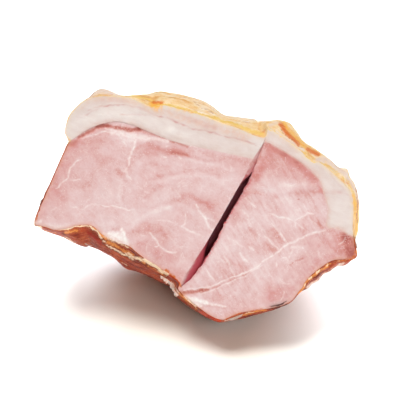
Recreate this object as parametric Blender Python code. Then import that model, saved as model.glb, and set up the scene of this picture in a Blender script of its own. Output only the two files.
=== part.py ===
"""A chunk of smoked ham, resting on its crust with the cut face leaning back.

Units are metres and +Z is up. The chunk is shaped in the frame of its cut face: X runs across the
face, Y runs up it, and Z comes straight out of it, so the meat lies behind the cut, at negative Z.
set_down() then leans the chunk back, lifts it and flattens the spot that it rests on.
"""

import math

import bmesh
import bpy
from mathutils import Matrix, Vector, noise

MM = 0.001

# The chunk behind the cut
DEPTH = 80 * MM  # from the cut to the back
BACK_BLUNTNESS = 3.0  # exponent of the side's profile: 2 is an ellipse, more is blunter
HEART = Vector((-4, 62)) * MM  # the middle of the cut, which the sides close round
BACK_SHIFT = Vector((-2, -12)) * MM  # from there to the middle of the back
RIM_DEPTH = 0.8 * MM  # of the straight rim, before the sides swell
SWELL_DEPTH = 22 * MM  # from the rim to where the sides are at their fullest
ROUNDING_DEPTH = 40 * MM  # from there to where the edge's corners have gone from the sides
RING_DEPTHS = (-10, 0.8, 2, 3.5, 5.5, 8, 11, 15, 20, 26, 33, 41, 49, 57, 64, 70, 74.5, 77.5)
BACK_SHARES = (0.36, 0.24, 0.12)  # of the full width, on the rings that close the back

# How the chunk lies
LEAN_BACK = math.radians(52)  # of the cut, from facing straight up
CUT_PLACE = Vector((1.228, -57.925, 24.0)) * MM  # of the foot of the cut, over the table

# The edge of the cut, clockwise from its left tip: across, up, and how far the side swells past
# it, in millimetres
LEFT_SIDE = ((-91.3, 55.0, 0.6), (-82.5, 76.5, 0.4), (-73.4, 97.0, 0.3))
FAT_END = (
    (-71.5, 99.8, 0.2),
    (-74.3, 103.4, 0.4),
    (-73.7, 109.0, 0.5),
    (-71.2, 115.0, 0.9),
    (-63.8, 122.0, 1.0),
)
RIND_LEFT = (
    (-55.0, 124.6, 8.2),
    (-44.0, 124.3, 2.4),
    (-35.8, 122.6, 3.8),
    (-27.0, 118.8, 11.0),
    (-20.4, 119.7, 10.4),
    (-1.0, 114.7, 9.8),
    (10.5, 110.4, 6.4),
    (21.0, 106.6, 9.6),
    (34.8, 101.8, 13.0),
)
RIND_RIGHT = (
    (37.8, 107.0, 9.6),
    (44.0, 103.4, 14.5),
    (55.0, 95.2, 7.2),
    (60.5, 89.7, 8.4),
    (67.1, 87.5, 7.4),
    (79.8, 75.9, 7.8),
    (84.2, 68.8, 5.6),
    (84.6, 49.5, 5.2),
)
RIGHT_TIP = ((85.3, 44.6, 1.2), (86.4, 36.3, 0.8), (82.5, 34.1, 1.6))
CRUST_RIGHT = (
    (74.3, 33.6, 3.4),
    (67.7, 30.3, 4.0),
    (59.4, 23.1, 3.8),
    (55.0, 16.5, 1.8),
    (46.2, 8.8, 1.2),
    (22.0, 4.4, 1.8),
    (12.1, 0.6, 1.0),
    (2.7, 5.0, 2.0),
    (-11.6, 16.5, 2.6),
)
CRUST_LEFT = (
    (-12.8, 22.8, 4.4),
    (-31.4, 35.2, 7.6),
    (-39.6, 41.3, 10.4),
    (-46.8, 44.0, 6.4),
    (-54.5, 47.9, 7.2),
    (-59.4, 52.6, 9.8),
    (-66.0, 52.8, 9.4),
    (-78.1, 50.1, 1.8),
    (-86.9, 52.3, 1.4),
)
EDGE = LEFT_SIDE + FAT_END + RIND_LEFT + RIND_RIGHT + RIGHT_TIP + CRUST_RIGHT + CRUST_LEFT
EDGE_STEP = 3.4 * MM  # between the points along the edge

# Where the fat meets the lean on the cut, on each side of the slit: across and up, in millimetres
FAT_FLOOR_LEFT = (
    (-71.2, 99.7),
    (-60.5, 106.7),
    (-48.4, 110.3),
    (-38.5, 108.9),
    (-16.5, 100.1),
    (0.0, 96.0),
    (29.0, 89.7),
)
FAT_FLOOR_RIGHT = (
    (35.9, 99.6),
    (49.5, 92.4),
    (64.4, 80.3),
    (70.4, 64.4),
    (70.2, 52.9),
    (75.9, 51.7),
    (84.6, 46.8),
)
FAT_FLOOR_STEP = 4 * MM
FAT_WRAP = 0.18  # share by which the fat's inner side closes in towards the back
FAT_WRAP_DEPTH = 56 * MM
CORE_DEPTHS = (-14, 0, 14, 28, 42, 56, 68, 80, 94)
CORE_BEYOND = ((110, 40), (110, -40), (-115, -40), (-115, 93))  # well outside the chunk
GAP = 0.3 * MM  # between fat and lean

# The knife cut: its left lip is straight, and its right lip has drawn away
SLIT_TOP = Vector((35.9, 101.4)) * MM
SLIT_FOOT = Vector((-10.6, 19.2)) * MM
SLIT_WIDTH = 4.6 * MM
SLIT_DEPTH = 38 * MM
SLIT_BOTTOM = 0.04  # its width at its deepest, as a share
SLIT_VEER = 5 * MM  # how far its bottom runs to the right near its two ends
SLIT_CUTS = 13
SLIT_CLEARANCE = 8 * MM  # of the cutter, in front of the cut

# Relief of the crust and rind
LUMP_SIZE, LUMP_HEIGHT = 34 * MM, 2.2 * MM
CRAG_SIZE, CRAG_HEIGHT = 9 * MM, 0.7 * MM
CRAG_START = 4 * MM  # behind the cut
LIP_FROM = Vector(CRUST_LEFT[0][:2]) * MM  # the crust's lip, with a hollow under it
LIP_TO = Vector(CRUST_LEFT[6][:2]) * MM
LIP_REACH = 12 * MM
HOLLOW, HOLLOW_AT, HOLLOW_WIDTH = 1.6 * MM, 5 * MM, 2.5 * MM

# Relief of the cut
SINK, SINK_REACH = 1.8 * MM, 8 * MM  # of the lean, below the left fat
SINK_START, SINK_END = -74 * MM, -22 * MM
SINK_FADE = 13 * MM
KNIFE_MARK, KNIFE_MARK_WIDTH = 0.5 * MM, 2.5 * MM  # across the meat right of the slit
KNIFE_MARK_HEIGHT, KNIFE_MARK_START = 71 * MM, 15 * MM
WAVE_SIZE, WAVE_HEIGHT = 26 * MM, 0.6 * MM
SLAB_WIDTH, SLAB_HEIGHT, SLAB_CELL = 200 * MM, 150 * MM, 5.5 * MM


def smooth(x):
    """0 up to 0, 1 from 1 on, and a smooth rise between."""
    x = min(max(x, 0.0), 1.0)
    return x * x * (3 - 2 * x)


def bell(x):
    """1 at 0, falling away on both sides."""
    return math.exp(-x * x)


def in_metres(stations):
    return [Vector(station) * MM for station in stations]


def curve_point(a, b, c, d, t):
    """A point of the Catmull-Rom curve between b and c."""
    return 0.5 * (
        2 * b + (c - a) * t + (2 * a - 5 * b + 4 * c - d) * t**2 + (3 * b - a - 3 * c + d) * t**3
    )


def curve(stations, step, closed):
    """Points about a step apart on a smooth curve through the stations, which are among them."""
    count = len(stations)
    points = []
    for i in range(count if closed else count - 1):
        places = [i + k if closed else min(max(i + k, 0), count - 1) for k in (-1, 0, 1, 2)]
        near = [stations[place % count] for place in places]
        length = (near[2].to_2d() - near[1].to_2d()).length
        pieces = max(1, round(length / step))
        points += [curve_point(*near, k / pieces) for k in range(pieces)]
    if not closed:
        points.append(stations[-1])
    return points


def softened(points, reach, closed=True):
    """Each point of a line moved to the mean of its neighbours within reach points."""
    count = len(points)
    made = []
    for i in range(count):
        span = reach if closed else min(reach, i, count - 1 - i)
        near = [points[(i + k) % count] for k in range(-span, span + 1)]
        made.append(sum(near, Vector((0, 0))) / len(near))
    return made


def left_of(points, closed=True):
    """The direction to the left of a line's run, at each of its points."""
    last = len(points) - 1
    made = []
    for i in range(last + 1):
        ahead = points[(i + 1) % (last + 1) if closed else min(i + 1, last)]
        behind = points[i - 1 if closed else max(i - 1, 0)]
        run = ahead - behind
        made.append(Vector((-run.y, run.x)).normalized())
    return made


def to_segment(point, start, end):
    """How far the point is from the line between two ends, and how far along it, from 0 to 1."""
    run = end - start
    t = min(max((point - start).dot(run) / run.length_squared, 0.0), 1.0)
    return (point - start - run * t).length, t


def solid(name, bm):
    """An object of a closed bmesh, with its faces turned outwards."""
    bmesh.ops.triangulate(bm, faces=[face for face in bm.faces if len(face.verts) == 4])
    bmesh.ops.recalc_face_normals(bm, faces=bm.faces)
    mesh = bpy.data.meshes.new(name)
    bm.to_mesh(mesh)
    bm.free()
    obj = bpy.data.objects.new(name, mesh)
    bpy.context.scene.collection.objects.link(obj)
    return obj


def loft(name, rings, pole=None):
    """A closed solid through rings of points; it ends in the pole, or else flat."""
    bm = bmesh.new()
    bmesh.ops.create_circle(bm, cap_ends=True, segments=len(rings[0]), radius=1)
    cap = bm.faces[:][0]
    for corner, point in zip(cap.verts, rings[0]):
        corner.co = point
    for ring in rings[1:]:
        front = [cap, *cap.edges, *cap.verts]
        made = bmesh.ops.extrude_face_region(bm, geom=front)["geom"]
        cap = next(item for item in made if isinstance(item, bmesh.types.BMFace))
        for corner, point in zip(cap.verts, ring):
            corner.co = point
    if pole is not None:
        bmesh.ops.poke(bm, faces=[cap])["verts"][0].co = pole
    return solid(name, bm)


def share_at(depth):
    """How wide the chunk is at a depth behind the cut, as a share of its full width."""
    return (1 - (max(depth, 0.0) / DEPTH) ** BACK_BLUNTNESS) ** (1 / BACK_BLUNTNESS)


def depth_at(share):
    return DEPTH * (1 - share**BACK_BLUNTNESS) ** (1 / BACK_BLUNTNESS)


def hollow_under_lip(edge_point, depth):
    """How deep the hollow is under the crust's lip, along the lower left of the cut."""
    away, along = to_segment(edge_point, LIP_FROM, LIP_TO)
    nearness = smooth(1 - away / LIP_REACH) * smooth(4 * along)
    return HOLLOW * nearness * bell((depth - HOLLOW_AT) / HOLLOW_WIDTH)


def chunk():
    """The whole outside of the chunk, standing on past the cut in front."""
    samples = curve(in_metres(EDGE), EDGE_STEP, closed=True)
    edge = [sample.to_2d() for sample in samples]
    outwards = softened(left_of(edge), 2)
    full = softened([p + d * s.z for p, d, s in zip(edge, outwards, samples)], 1)
    rounded = softened(softened(full, 6), 6)
    depths = [depth * MM for depth in RING_DEPTHS] + [depth_at(share) for share in BACK_SHARES]
    rings = []
    for depth in depths:
        share = share_at(depth)
        swell = math.sin(math.pi / 2 * min(max(depth - RIM_DEPTH, 0.0) / SWELL_DEPTH, 1.0))
        rounding = smooth((depth - SWELL_DEPTH) / ROUNDING_DEPTH)
        middle = HEART + BACK_SHIFT * (max(depth, 0.0) / DEPTH) ** 1.5
        ring = []
        for start, wide, even, outward in zip(edge, full, rounded, outwards):
            side = start.lerp(wide, swell).lerp(even, rounding)
            at = (middle + (side - HEART) * share).to_3d()
            at.z = -depth
            rise = noise.noise(at / LUMP_SIZE) * LUMP_HEIGHT * swell
            rise += noise.noise(at / CRAG_SIZE) * CRAG_HEIGHT * smooth(depth / CRAG_START)
            rise -= hollow_under_lip(start, depth)
            ring.append(at + outward.to_3d() * rise * smooth(3 * share))
        rings.append(ring)
    back = (HEART + BACK_SHIFT).to_3d()
    back.z = -DEPTH
    return loft("chunk", rings, back)


def fat_floor(stations):
    return curve(in_metres(stations), FAT_FLOOR_STEP, closed=False)


def cut_height(point, floor):
    """The relief of the cut at a point of it, where floor is the underside of the left fat."""
    nearest = min(floor, key=lambda place: (place - point).length)
    sink = 0.0
    if nearest.y > point.y:
        sink = SINK * smooth(1 - (nearest - point).length / SINK_REACH)
        sink *= smooth((point.x - SINK_START) / SINK_FADE) * smooth((SINK_END - point.x) / SINK_FADE)
    mark = KNIFE_MARK * bell((point.y - KNIFE_MARK_HEIGHT) / KNIFE_MARK_WIDTH)
    mark *= smooth((point.x - KNIFE_MARK_START) / KNIFE_MARK_START)
    return noise.noise(point.to_3d() / WAVE_SIZE) * WAVE_HEIGHT - sink - mark


def cut_slab():
    """A block that holds the whole chunk, and whose front is the relief of the cut."""
    bm = bmesh.new()
    cells = [round(length / SLAB_CELL) for length in (SLAB_WIDTH, SLAB_HEIGHT)]
    bmesh.ops.create_grid(bm, x_segments=cells[0], y_segments=cells[1], size=0.5)
    floor = fat_floor(FAT_FLOOR_LEFT)
    for vert in bm.verts:
        point = Vector((vert.co.x * SLAB_WIDTH, vert.co.y * SLAB_HEIGHT + HEART.y))
        vert.co = (point.x, point.y, cut_height(point, floor))
    front = bm.faces[:] + bm.edges[:] + bm.verts[:]
    made = bmesh.ops.extrude_face_region(bm, geom=front)["geom"]
    for vert in (item for item in made if isinstance(item, bmesh.types.BMVert)):
        vert.co.z = -2 * DEPTH
    bmesh.ops.dissolve_faces(bm, faces=[f for f in made if isinstance(f, bmesh.types.BMFace)])
    return solid("cut_slab", bm)


def core(name, offset):
    """Everything below the fat and out past the chunk, with its top moved up by the offset."""
    floor = fat_floor(FAT_FLOOR_LEFT) + fat_floor(FAT_FLOOR_RIGHT)
    floor = [place + up * offset for place, up in zip(floor, left_of(floor, closed=False))]
    even = softened(softened(floor, 5, closed=False), 5, closed=False)
    rings = []
    for depth in (depth * MM for depth in CORE_DEPTHS):
        closing = 1 - FAT_WRAP * smooth(depth / FAT_WRAP_DEPTH)
        evening = smooth((depth - SLIT_DEPTH / 2) / SLIT_DEPTH)
        top = [HEART + (a.lerp(b, evening) - HEART) * closing for a, b in zip(floor, even)]
        rings.append([Vector((p.x, p.y, -depth)) for p in top + in_metres(CORE_BEYOND)])
    return loft(name, rings)


def slit():
    """The space inside the knife cut, which narrows almost to nothing at its bottom."""
    bm = bmesh.new()
    bmesh.ops.create_cube(bm, size=2)
    bmesh.ops.subdivide_edges(bm, edges=bm.edges, cuts=SLIT_CUTS, use_grid_fill=True)
    run = SLIT_FOOT - SLIT_TOP
    across = Vector((-run.y, run.x)).normalized()
    for vert in bm.verts:
        side, along, up = ((part + 1) / 2 for part in vert.co)
        bow = max(math.sin(math.pi * along), 0.01) ** 0.6
        bottom = SLIT_DEPTH * bow
        height = SLIT_CLEARANCE * up - bottom * (1 - up)
        down = max(-height / bottom, 0.0)
        width = SLIT_WIDTH * bow * (1 - (1 - SLIT_BOTTOM) * down)
        veer = SLIT_VEER * down * (2 * along - 1) ** 2
        at = SLIT_TOP + run * along + across * (veer + width * side)
        vert.co = (at.x, at.y, height)
    return solid("slit", bm)


def combine(obj, other, operation):
    """Keeps what obj shares with the other solid, or what the other leaves of it."""
    modifier = obj.modifiers.new(operation, "BOOLEAN")
    modifier.operation = operation
    modifier.object = other
    modifier.solver = "EXACT"
    graph = bpy.context.evaluated_depsgraph_get()
    mesh = bpy.data.meshes.new_from_object(obj.evaluated_get(graph))
    obj.modifiers.clear()
    before, obj.data = obj.data, mesh
    bpy.data.meshes.remove(before)


def copy_of(obj, name):
    made = obj.copy()
    made.data = obj.data.copy()
    made.name = made.data.name = name
    bpy.context.scene.collection.objects.link(made)
    return made


def set_down(obj):
    """Leans the piece back with its cut up, and flattens it where it meets the table."""
    bm = bmesh.new()
    bm.from_mesh(obj.data)
    place = Matrix.Translation(CUT_PLACE) @ Matrix.Rotation(LEAN_BACK, 4, "X")
    bmesh.ops.transform(bm, matrix=place, verts=bm.verts)
    cut = bmesh.ops.bisect_plane(
        bm,
        geom=bm.verts[:] + bm.edges[:] + bm.faces[:],
        dist=1e-6,
        plane_co=(0, 0, 0),
        plane_no=(0, 0, -1),
        clear_outer=True,
    )
    rim = [item for item in cut["geom_cut"] if isinstance(item, bmesh.types.BMEdge)]
    if rim:
        bmesh.ops.contextual_create(bm, geom=rim)
    bm.to_mesh(obj.data)
    bm.free()


def finish(obj, colour, roughness):
    """Shades the piece, and gives it a material of its own."""
    made = bpy.data.materials.new(obj.name)
    made.use_nodes = True
    shader = made.node_tree.nodes["Principled BSDF"]
    shader.inputs["Base Color"].default_value = (*colour, 1)
    shader.inputs["Roughness"].default_value = roughness
    shader.inputs["Metallic"].default_value = 0
    obj.data.materials.clear()
    obj.data.materials.append(made)
    obj.data.shade_smooth()
    obj.data.set_sharp_from_angle(angle=math.radians(40))


def main():
    for leftover in list(bpy.data.objects):
        bpy.data.objects.remove(leftover)
    whole = chunk()
    cutters = [cut_slab(), slit(), core("low_core", -GAP / 2), core("high_core", GAP / 2)]
    slab, knife, low_core, high_core = cutters
    combine(whole, slab, "INTERSECT")
    combine(whole, knife, "DIFFERENCE")
    lean = copy_of(whole, "lean")
    combine(lean, low_core, "INTERSECT")
    fat = copy_of(whole, "fat_cap")
    combine(fat, high_core, "DIFFERENCE")
    for used in [whole, *cutters]:
        bpy.data.objects.remove(used)
    ham = bpy.data.collections.new("ham")
    bpy.context.scene.collection.children.link(ham)
    for piece, colour, roughness in (
        (lean, (0.78, 0.50, 0.48), 0.4),
        (fat, (0.83, 0.70, 0.65), 0.4),
    ):
        set_down(piece)
        finish(piece, colour, roughness)
        bpy.context.scene.collection.objects.unlink(piece)
        ham.objects.link(piece)


if __name__ == "__main__":
    main()
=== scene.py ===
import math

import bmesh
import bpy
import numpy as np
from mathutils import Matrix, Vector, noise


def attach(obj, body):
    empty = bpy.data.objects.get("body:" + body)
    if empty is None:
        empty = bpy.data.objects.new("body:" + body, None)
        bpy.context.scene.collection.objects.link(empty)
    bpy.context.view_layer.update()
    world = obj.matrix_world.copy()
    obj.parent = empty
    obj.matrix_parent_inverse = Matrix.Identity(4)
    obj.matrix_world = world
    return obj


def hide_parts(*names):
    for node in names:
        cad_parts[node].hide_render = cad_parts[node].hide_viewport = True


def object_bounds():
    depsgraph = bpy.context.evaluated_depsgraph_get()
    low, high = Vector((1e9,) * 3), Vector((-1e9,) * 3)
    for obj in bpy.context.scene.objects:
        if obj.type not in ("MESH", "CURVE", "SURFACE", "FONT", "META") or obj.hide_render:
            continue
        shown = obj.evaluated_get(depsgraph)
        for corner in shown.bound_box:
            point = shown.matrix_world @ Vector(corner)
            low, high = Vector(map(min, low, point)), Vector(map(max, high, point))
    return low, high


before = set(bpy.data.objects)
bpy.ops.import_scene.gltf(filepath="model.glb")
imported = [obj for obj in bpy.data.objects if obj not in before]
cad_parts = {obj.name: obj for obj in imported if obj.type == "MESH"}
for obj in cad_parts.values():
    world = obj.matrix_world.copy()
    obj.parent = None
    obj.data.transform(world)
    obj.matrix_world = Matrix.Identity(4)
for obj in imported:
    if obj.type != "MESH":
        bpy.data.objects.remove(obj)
cad_low, cad_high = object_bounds()

# The looks of a chunk of smoked ham.
#
# Every piece is shaped in the frame of the cut face, as the solids are: X runs across the cut, Y
# runs up it and Z comes straight out of it, so the meat lies behind the cut, at negative Z.
# lay_down() then leans each piece back and sets it on the table. Sizes are in metres.
#
# Marks are placed by where they show in the photograph, in its pixels.

MM = 0.001

# ---------------------------------------------------------------- sizes shared with the solids

DEPTH = 80 * MM  # from the cut to the back
BACK_BLUNTNESS = 3.0  # the higher, the squarer the back
HEART = np.array((-4, 62)) * MM  # the middle of the cut, which the sides close round
BACK_SHIFT = np.array((-2, -12)) * MM  # of the middle of the back
RIM_DEPTH = 0.8 * MM  # the sides start to swell behind this
SWELL_DEPTH = 22 * MM  # and are at their fullest here
ROUNDING_DEPTH = 40 * MM  # over which the outline evens out behind that
LEAN_BACK = math.radians(52)  # between the cut and the table
CUT_PLACE = (1.228 * MM, -57.925 * MM, 24.0 * MM)  # of the zero point of the cut's frame

# The edge of the cut, clockwise from its left tip: across, up, and how far the side swells past
# it, in millimetres
LEFT_SIDE = ((-91.3, 55.0, 0.6), (-82.5, 76.5, 0.4), (-73.4, 97.0, 0.3))
FAT_END = (
    (-71.5, 99.8, 0.2),
    (-74.3, 103.4, 0.4),
    (-73.7, 109.0, 0.5),
    (-71.2, 115.0, 0.9),
    (-63.8, 122.0, 1.0),
)
RIND_LEFT = (
    (-55.0, 124.6, 8.2),
    (-44.0, 124.3, 2.4),
    (-35.8, 122.6, 3.8),
    (-27.0, 118.8, 11.0),
    (-20.4, 119.7, 10.4),
    (-1.0, 114.7, 9.8),
    (10.5, 110.4, 6.4),
    (21.0, 106.6, 9.6),
    (34.8, 101.8, 13.0),
)
RIND_RIGHT = (
    (37.8, 107.0, 9.6),
    (44.0, 103.4, 14.5),
    (55.0, 95.2, 7.2),
    (60.5, 89.7, 8.4),
    (67.1, 87.5, 7.4),
    (79.8, 75.9, 7.8),
    (84.2, 68.8, 5.6),
    (84.6, 49.5, 5.2),
)
RIGHT_TIP = ((85.3, 44.6, 1.2), (86.4, 36.3, 0.8), (82.5, 34.1, 1.6))
CRUST_RIGHT = (
    (74.3, 33.6, 3.4),
    (67.7, 30.3, 4.0),
    (59.4, 23.1, 3.8),
    (55.0, 16.5, 1.8),
    (46.2, 8.8, 1.2),
    (22.0, 4.4, 1.8),
    (12.1, 0.6, 1.0),
    (2.7, 5.0, 2.0),
    (-11.6, 16.5, 2.6),
)
CRUST_LEFT = (
    (-12.8, 22.8, 4.4),
    (-31.4, 35.2, 7.6),
    (-39.6, 41.3, 10.4),
    (-46.8, 44.0, 6.4),
    (-54.5, 47.9, 7.2),
    (-59.4, 52.6, 9.8),
    (-66.0, 52.8, 9.4),
    (-78.1, 50.1, 1.8),
    (-86.9, 52.3, 1.4),
)
EDGE = LEFT_SIDE + FAT_END + RIND_LEFT + RIND_RIGHT + RIGHT_TIP + CRUST_RIGHT + CRUST_LEFT

# Where the fat meets the meat at the cut, left and right of the slit: across and up, in millimetres
FAT_FLOOR_LEFT = (
    (-71.2, 99.7),
    (-60.5, 106.7),
    (-48.4, 110.3),
    (-38.5, 108.9),
    (-16.5, 100.1),
    (0.0, 96.0),
    (29.0, 89.7),
)
FAT_FLOOR_RIGHT = (
    (35.9, 99.6),
    (49.5, 92.4),
    (64.4, 80.3),
    (70.4, 64.4),
    (70.2, 52.9),
    (75.9, 51.7),
    (84.6, 46.8),
)
FAT_FLOOR_STEP = 2 * MM
FAT_WRAP = 0.18  # how much the fat closes in round the meat towards the back
FAT_WRAP_DEPTH = 56 * MM
# The core, which is all that lies below the fat: the depths of its rings, and its corners past
# the chunk, in millimetres
CORE_DEPTHS = (-14, 0, 14, 28, 42, 56, 68, 80, 94)
CORE_BEYOND = ((110, 40), (110, -40), (-115, -40), (-115, 93))

SLIT_TOP = np.array((35.9, 101.4)) * MM
SLIT_FOOT = np.array((-10.6, 19.2)) * MM
SLIT_RUN = SLIT_FOOT - SLIT_TOP
SLIT_ACROSS = np.array((-SLIT_RUN[1], SLIT_RUN[0])) / np.linalg.norm(SLIT_RUN)  # to its right
SLIT_DEPTH = 38 * MM  # in the solids; the step in the fat's underside evens out over as much
SLIT_VEER = 5 * MM  # how far its bottom runs to the right near its two ends
SLIT_CLEARANCE = 8 * MM  # of the cutter, in front of the cut

# Lumps and crags of the outside, and how deep behind the cut the crags are at their full height
LUMP_SIZE, LUMP_HEIGHT = 34 * MM, 2.2 * MM
CRAG_SIZE, CRAG_HEIGHT = 9 * MM, 0.7 * MM
CRAG_START = 4 * MM
# The lip of the crust, below the left half of the cut, and the hollow behind it
LIP_FROM = np.array(CRUST_LEFT[0][:2]) * MM
LIP_TO = np.array(CRUST_LEFT[6][:2]) * MM
LIP_REACH = 12 * MM
HOLLOW, HOLLOW_AT, HOLLOW_WIDTH = 1.6 * MM, 5 * MM, 2.5 * MM

# Where the meat sinks below the left end of the fat
SINK_REACH = 8 * MM
SINK_START, SINK_END = -74 * MM, -22 * MM
SINK_FADE = 13 * MM
# The groove that the knife left across the meat right of the slit, and the waves of the cut
KNIFE_MARK, KNIFE_MARK_WIDTH = 0.5 * MM, 2.5 * MM
KNIFE_MARK_HEIGHT, KNIFE_MARK_START = 71 * MM, 15 * MM
WAVE_SIZE, WAVE_HEIGHT = 26 * MM, 0.6 * MM

# ---------------------------------------------------------------- finer sizes of the shown pieces

SKIN_STEP = 0.85 * MM  # between the points of the crust and the rind, along the edge
SKIN_FINEST, SKIN_GROWTH = 0.5 * MM, 0.02  # between their rings, and how it grows with depth
SKIN_LAST_RING = 77.5 * MM
# The last rings of the skin and the meat, by how much of the full width is left there
SKIN_BACK_SHARES = (0.38, 0.35, 0.32, 0.29, 0.26, 0.23, 0.2, 0.17, 0.14, 0.11, 0.08, 0.05)
SKIN_RIM = 0.5 * MM  # the width of the skin at the cut
SKIN_BODY = 2.4 * MM  # how much thicker it is away from the cut
SKIN_BODY_FADE = 5 * MM  # over which it thickens
SKIN_PROUD = 0.12 * MM  # how far its rim stands above the cut
SKIN_INNER_DEPTHS = (74, 66, 50, 34, 20, 10, 5, 2.5)  # of the rings inside it, in millimetres
MEAT_INSET = 0.15 * MM  # of the meat, behind the outside of the skin at the cut
MEAT_INSET_DEEP = 2.3 * MM  # and how much further it lies away from the cut
MEAT_INSET_FADE = 5 * MM  # over which it grows
MEAT_STEP = 1.2 * MM  # between the points of its outline
# The depths of the rings of the meat, in millimetres
MEAT_DEPTHS = (-10, 0, 0.8, 2, 3.5, 5.5, 8, 11, 15, 20, 26, 33, 41, 49, 57, 64, 70, 74.5)
MEAT_BACK_SHARES = (0.36, 0.24, 0.12)
MEAT_FLOOR = 1.2 * MM  # the meat stays this far above the table, inside the skin
CELL = 0.5 * MM  # of the grid that carries the relief of the cut
SINK = 0.6 * MM  # how far the meat sinks below the left end of the fat

# The width of the slit at even steps from its top to its foot, in millimetres
SLIT_WIDTHS = (0.3, 1.5, 2.4, 3.2, 4.0, 3.9, 3.7, 3.4, 3.2, 3.5, 4.3, 4.5, 4.8, 4.6, 3.9, 0.4)
# How far it strays to the right of the straight line from its top to its foot, in millimetres
SLIT_STRAY = (0, 0, 0, 0.1, 0.4, 0.5, 0.5, 0.5, 0.5, 0.4, 0.35, 0.05, -0.5, -0.8, -1.3, -0.4)
SLIT_CUTS = 76
SLIT_ROUGHNESS = 0.75 * MM  # of its right wall, which has coarse and fine lumps
ROUGH_COARSE, ROUGH_FINE = 2.4 * MM, 1.0 * MM
CRACK_DEPTH = 11 * MM  # below the mouth
CRACK_CLOSING = 0.2  # how much narrower its bottom is
# The crack in the bottom of the slit: the photograph pixel that its middle shows at, its
# half-width in pixels and how far below the cut it opens, in millimetres
CRACK = (
    (264.6, 142.4, 0.05, 0.6),
    (258.4, 157.0, 0.05, 1.5),
    (253.0, 170.5, 0.1, 1.8),
    (250.6, 175.0, 1.0, 1.6),
    (246.3, 180.0, 2.1, 1.2),
    (239.5, 190.0, 3.2, 0.9),
    (233.8, 200.0, 3.1, 0.9),
    (227.9, 210.0, 3.1, 0.9),
    (222.2, 220.0, 3.3, 0.9),
    (216.8, 230.0, 3.5, 1.2),
    (213.9, 236.0, 3.9, 1.6),
    (210.5, 244.0, 3.5, 2.6),
    (208.0, 250.0, 3.0, 3.6),
    (205.6, 254.0, 1.7, 4.4),
    (204.7, 258.0, 0.9, 4.8),
    (203.0, 263.0, 0.2, 4.8),
    (194.0, 276.0, 0.08, 3.6),
    (183.6, 289.0, 0.05, 0.8),
)
MOUTH_FROM, MOUTH_TO = 0.3, 0.75  # the part of the cutter's height that the mouth takes

# ---------------------------------------------------------------- the camera

CAMERA_DISTANCE = 950 * MM
PICTURE_SIZE = 400  # pixels
PIXEL = 0.55 * MM  # on the cut
PICTURE_WIDTH = PICTURE_SIZE * PIXEL
SENSOR = 36.0
AIM = np.array((0.0, 67.1)) * MM  # the place on the cut that the camera looks straight at


def smooth(x):
    """0 up to 0, 1 from 1 on, and a smooth rise between."""
    x = np.clip(x, 0.0, 1.0)
    return x * x * (3 - 2 * x)


def bell(x):
    """1 at 0, falling away on both sides."""
    return np.exp(-np.square(x))


def waver(places, size, layer=0.0):
    """Smooth noise between -1 and 1 at an array of places, with lumps of the size."""
    places = np.atleast_2d(places) / size
    if places.shape[1] == 2:
        places = np.column_stack((places, np.full(len(places), layer)))
    else:
        places = places + layer
    return np.array([noise.noise(place) for place in places.tolist()])


# ---------------------------------------------------------------- lines and outlines


def curve(stations, step, closed):
    """Points about a step apart on a smooth curve through stations given in millimetres."""
    stations = np.array(stations, float) * MM
    count = len(stations)
    points = []
    for i in range(count if closed else count - 1):
        places = [i + k if closed else min(max(i + k, 0), count - 1) for k in (-1, 0, 1, 2)]
        a, b, c, d = (stations[place % count] for place in places)
        pieces = max(1, round(math.dist(b[:2], c[:2]) / step))
        for t in np.arange(pieces) / pieces:
            bend = (2 * a - 5 * b + 4 * c - d) * t**2 + (3 * b - a - 3 * c + d) * t**3
            points.append(0.5 * (2 * b + (c - a) * t + bend))
    if not closed:
        points.append(stations[-1])
    return np.array(points)


def softened(points, reach, closed=True):
    """Each point of a line moved to the mean of its neighbours within reach points."""
    count = len(points)
    made = []
    for i in range(count):
        span = reach if closed else min(reach, i, count - 1 - i)
        made.append(np.mean([points[(i + k) % count] for k in range(-span, span + 1)], axis=0))
    return np.array(made)


def left_of(points, closed=True):
    """The direction to the left of a line's run, at each of its points."""
    if closed:
        run = np.roll(points, -1, axis=0) - np.roll(points, 1, axis=0)
    else:
        run = np.gradient(points, axis=0)
    side = np.column_stack((-run[:, 1], run[:, 0]))
    return side / np.linalg.norm(side, axis=1)[:, None]


def to_line(places, line):
    """How far each place is from a line, how far along the line that is, from 0 to 1, and
    the nearest point of the line."""
    line = np.asarray(line, float)[:, :2]
    lengths = np.linalg.norm(np.diff(line, axis=0), axis=1)
    starts = np.concatenate(([0], np.cumsum(lengths)))
    gap = np.full(len(places), np.inf)
    share = np.zeros(len(places))
    nearest = np.zeros((len(places), 2))
    for start, end, before, length in zip(line, line[1:], starts, lengths):
        run = end - start
        along = np.clip((places - start) @ run / max(run @ run, 1e-18), 0, 1)
        point = start + along[:, None] * run
        away = np.linalg.norm(places - point, axis=1)
        closer = away < gap
        gap[closer] = away[closer]
        share[closer] = (before + along[closer] * length) / starts[-1]
        nearest[closer] = point[closer]
    return gap, share, nearest


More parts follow.
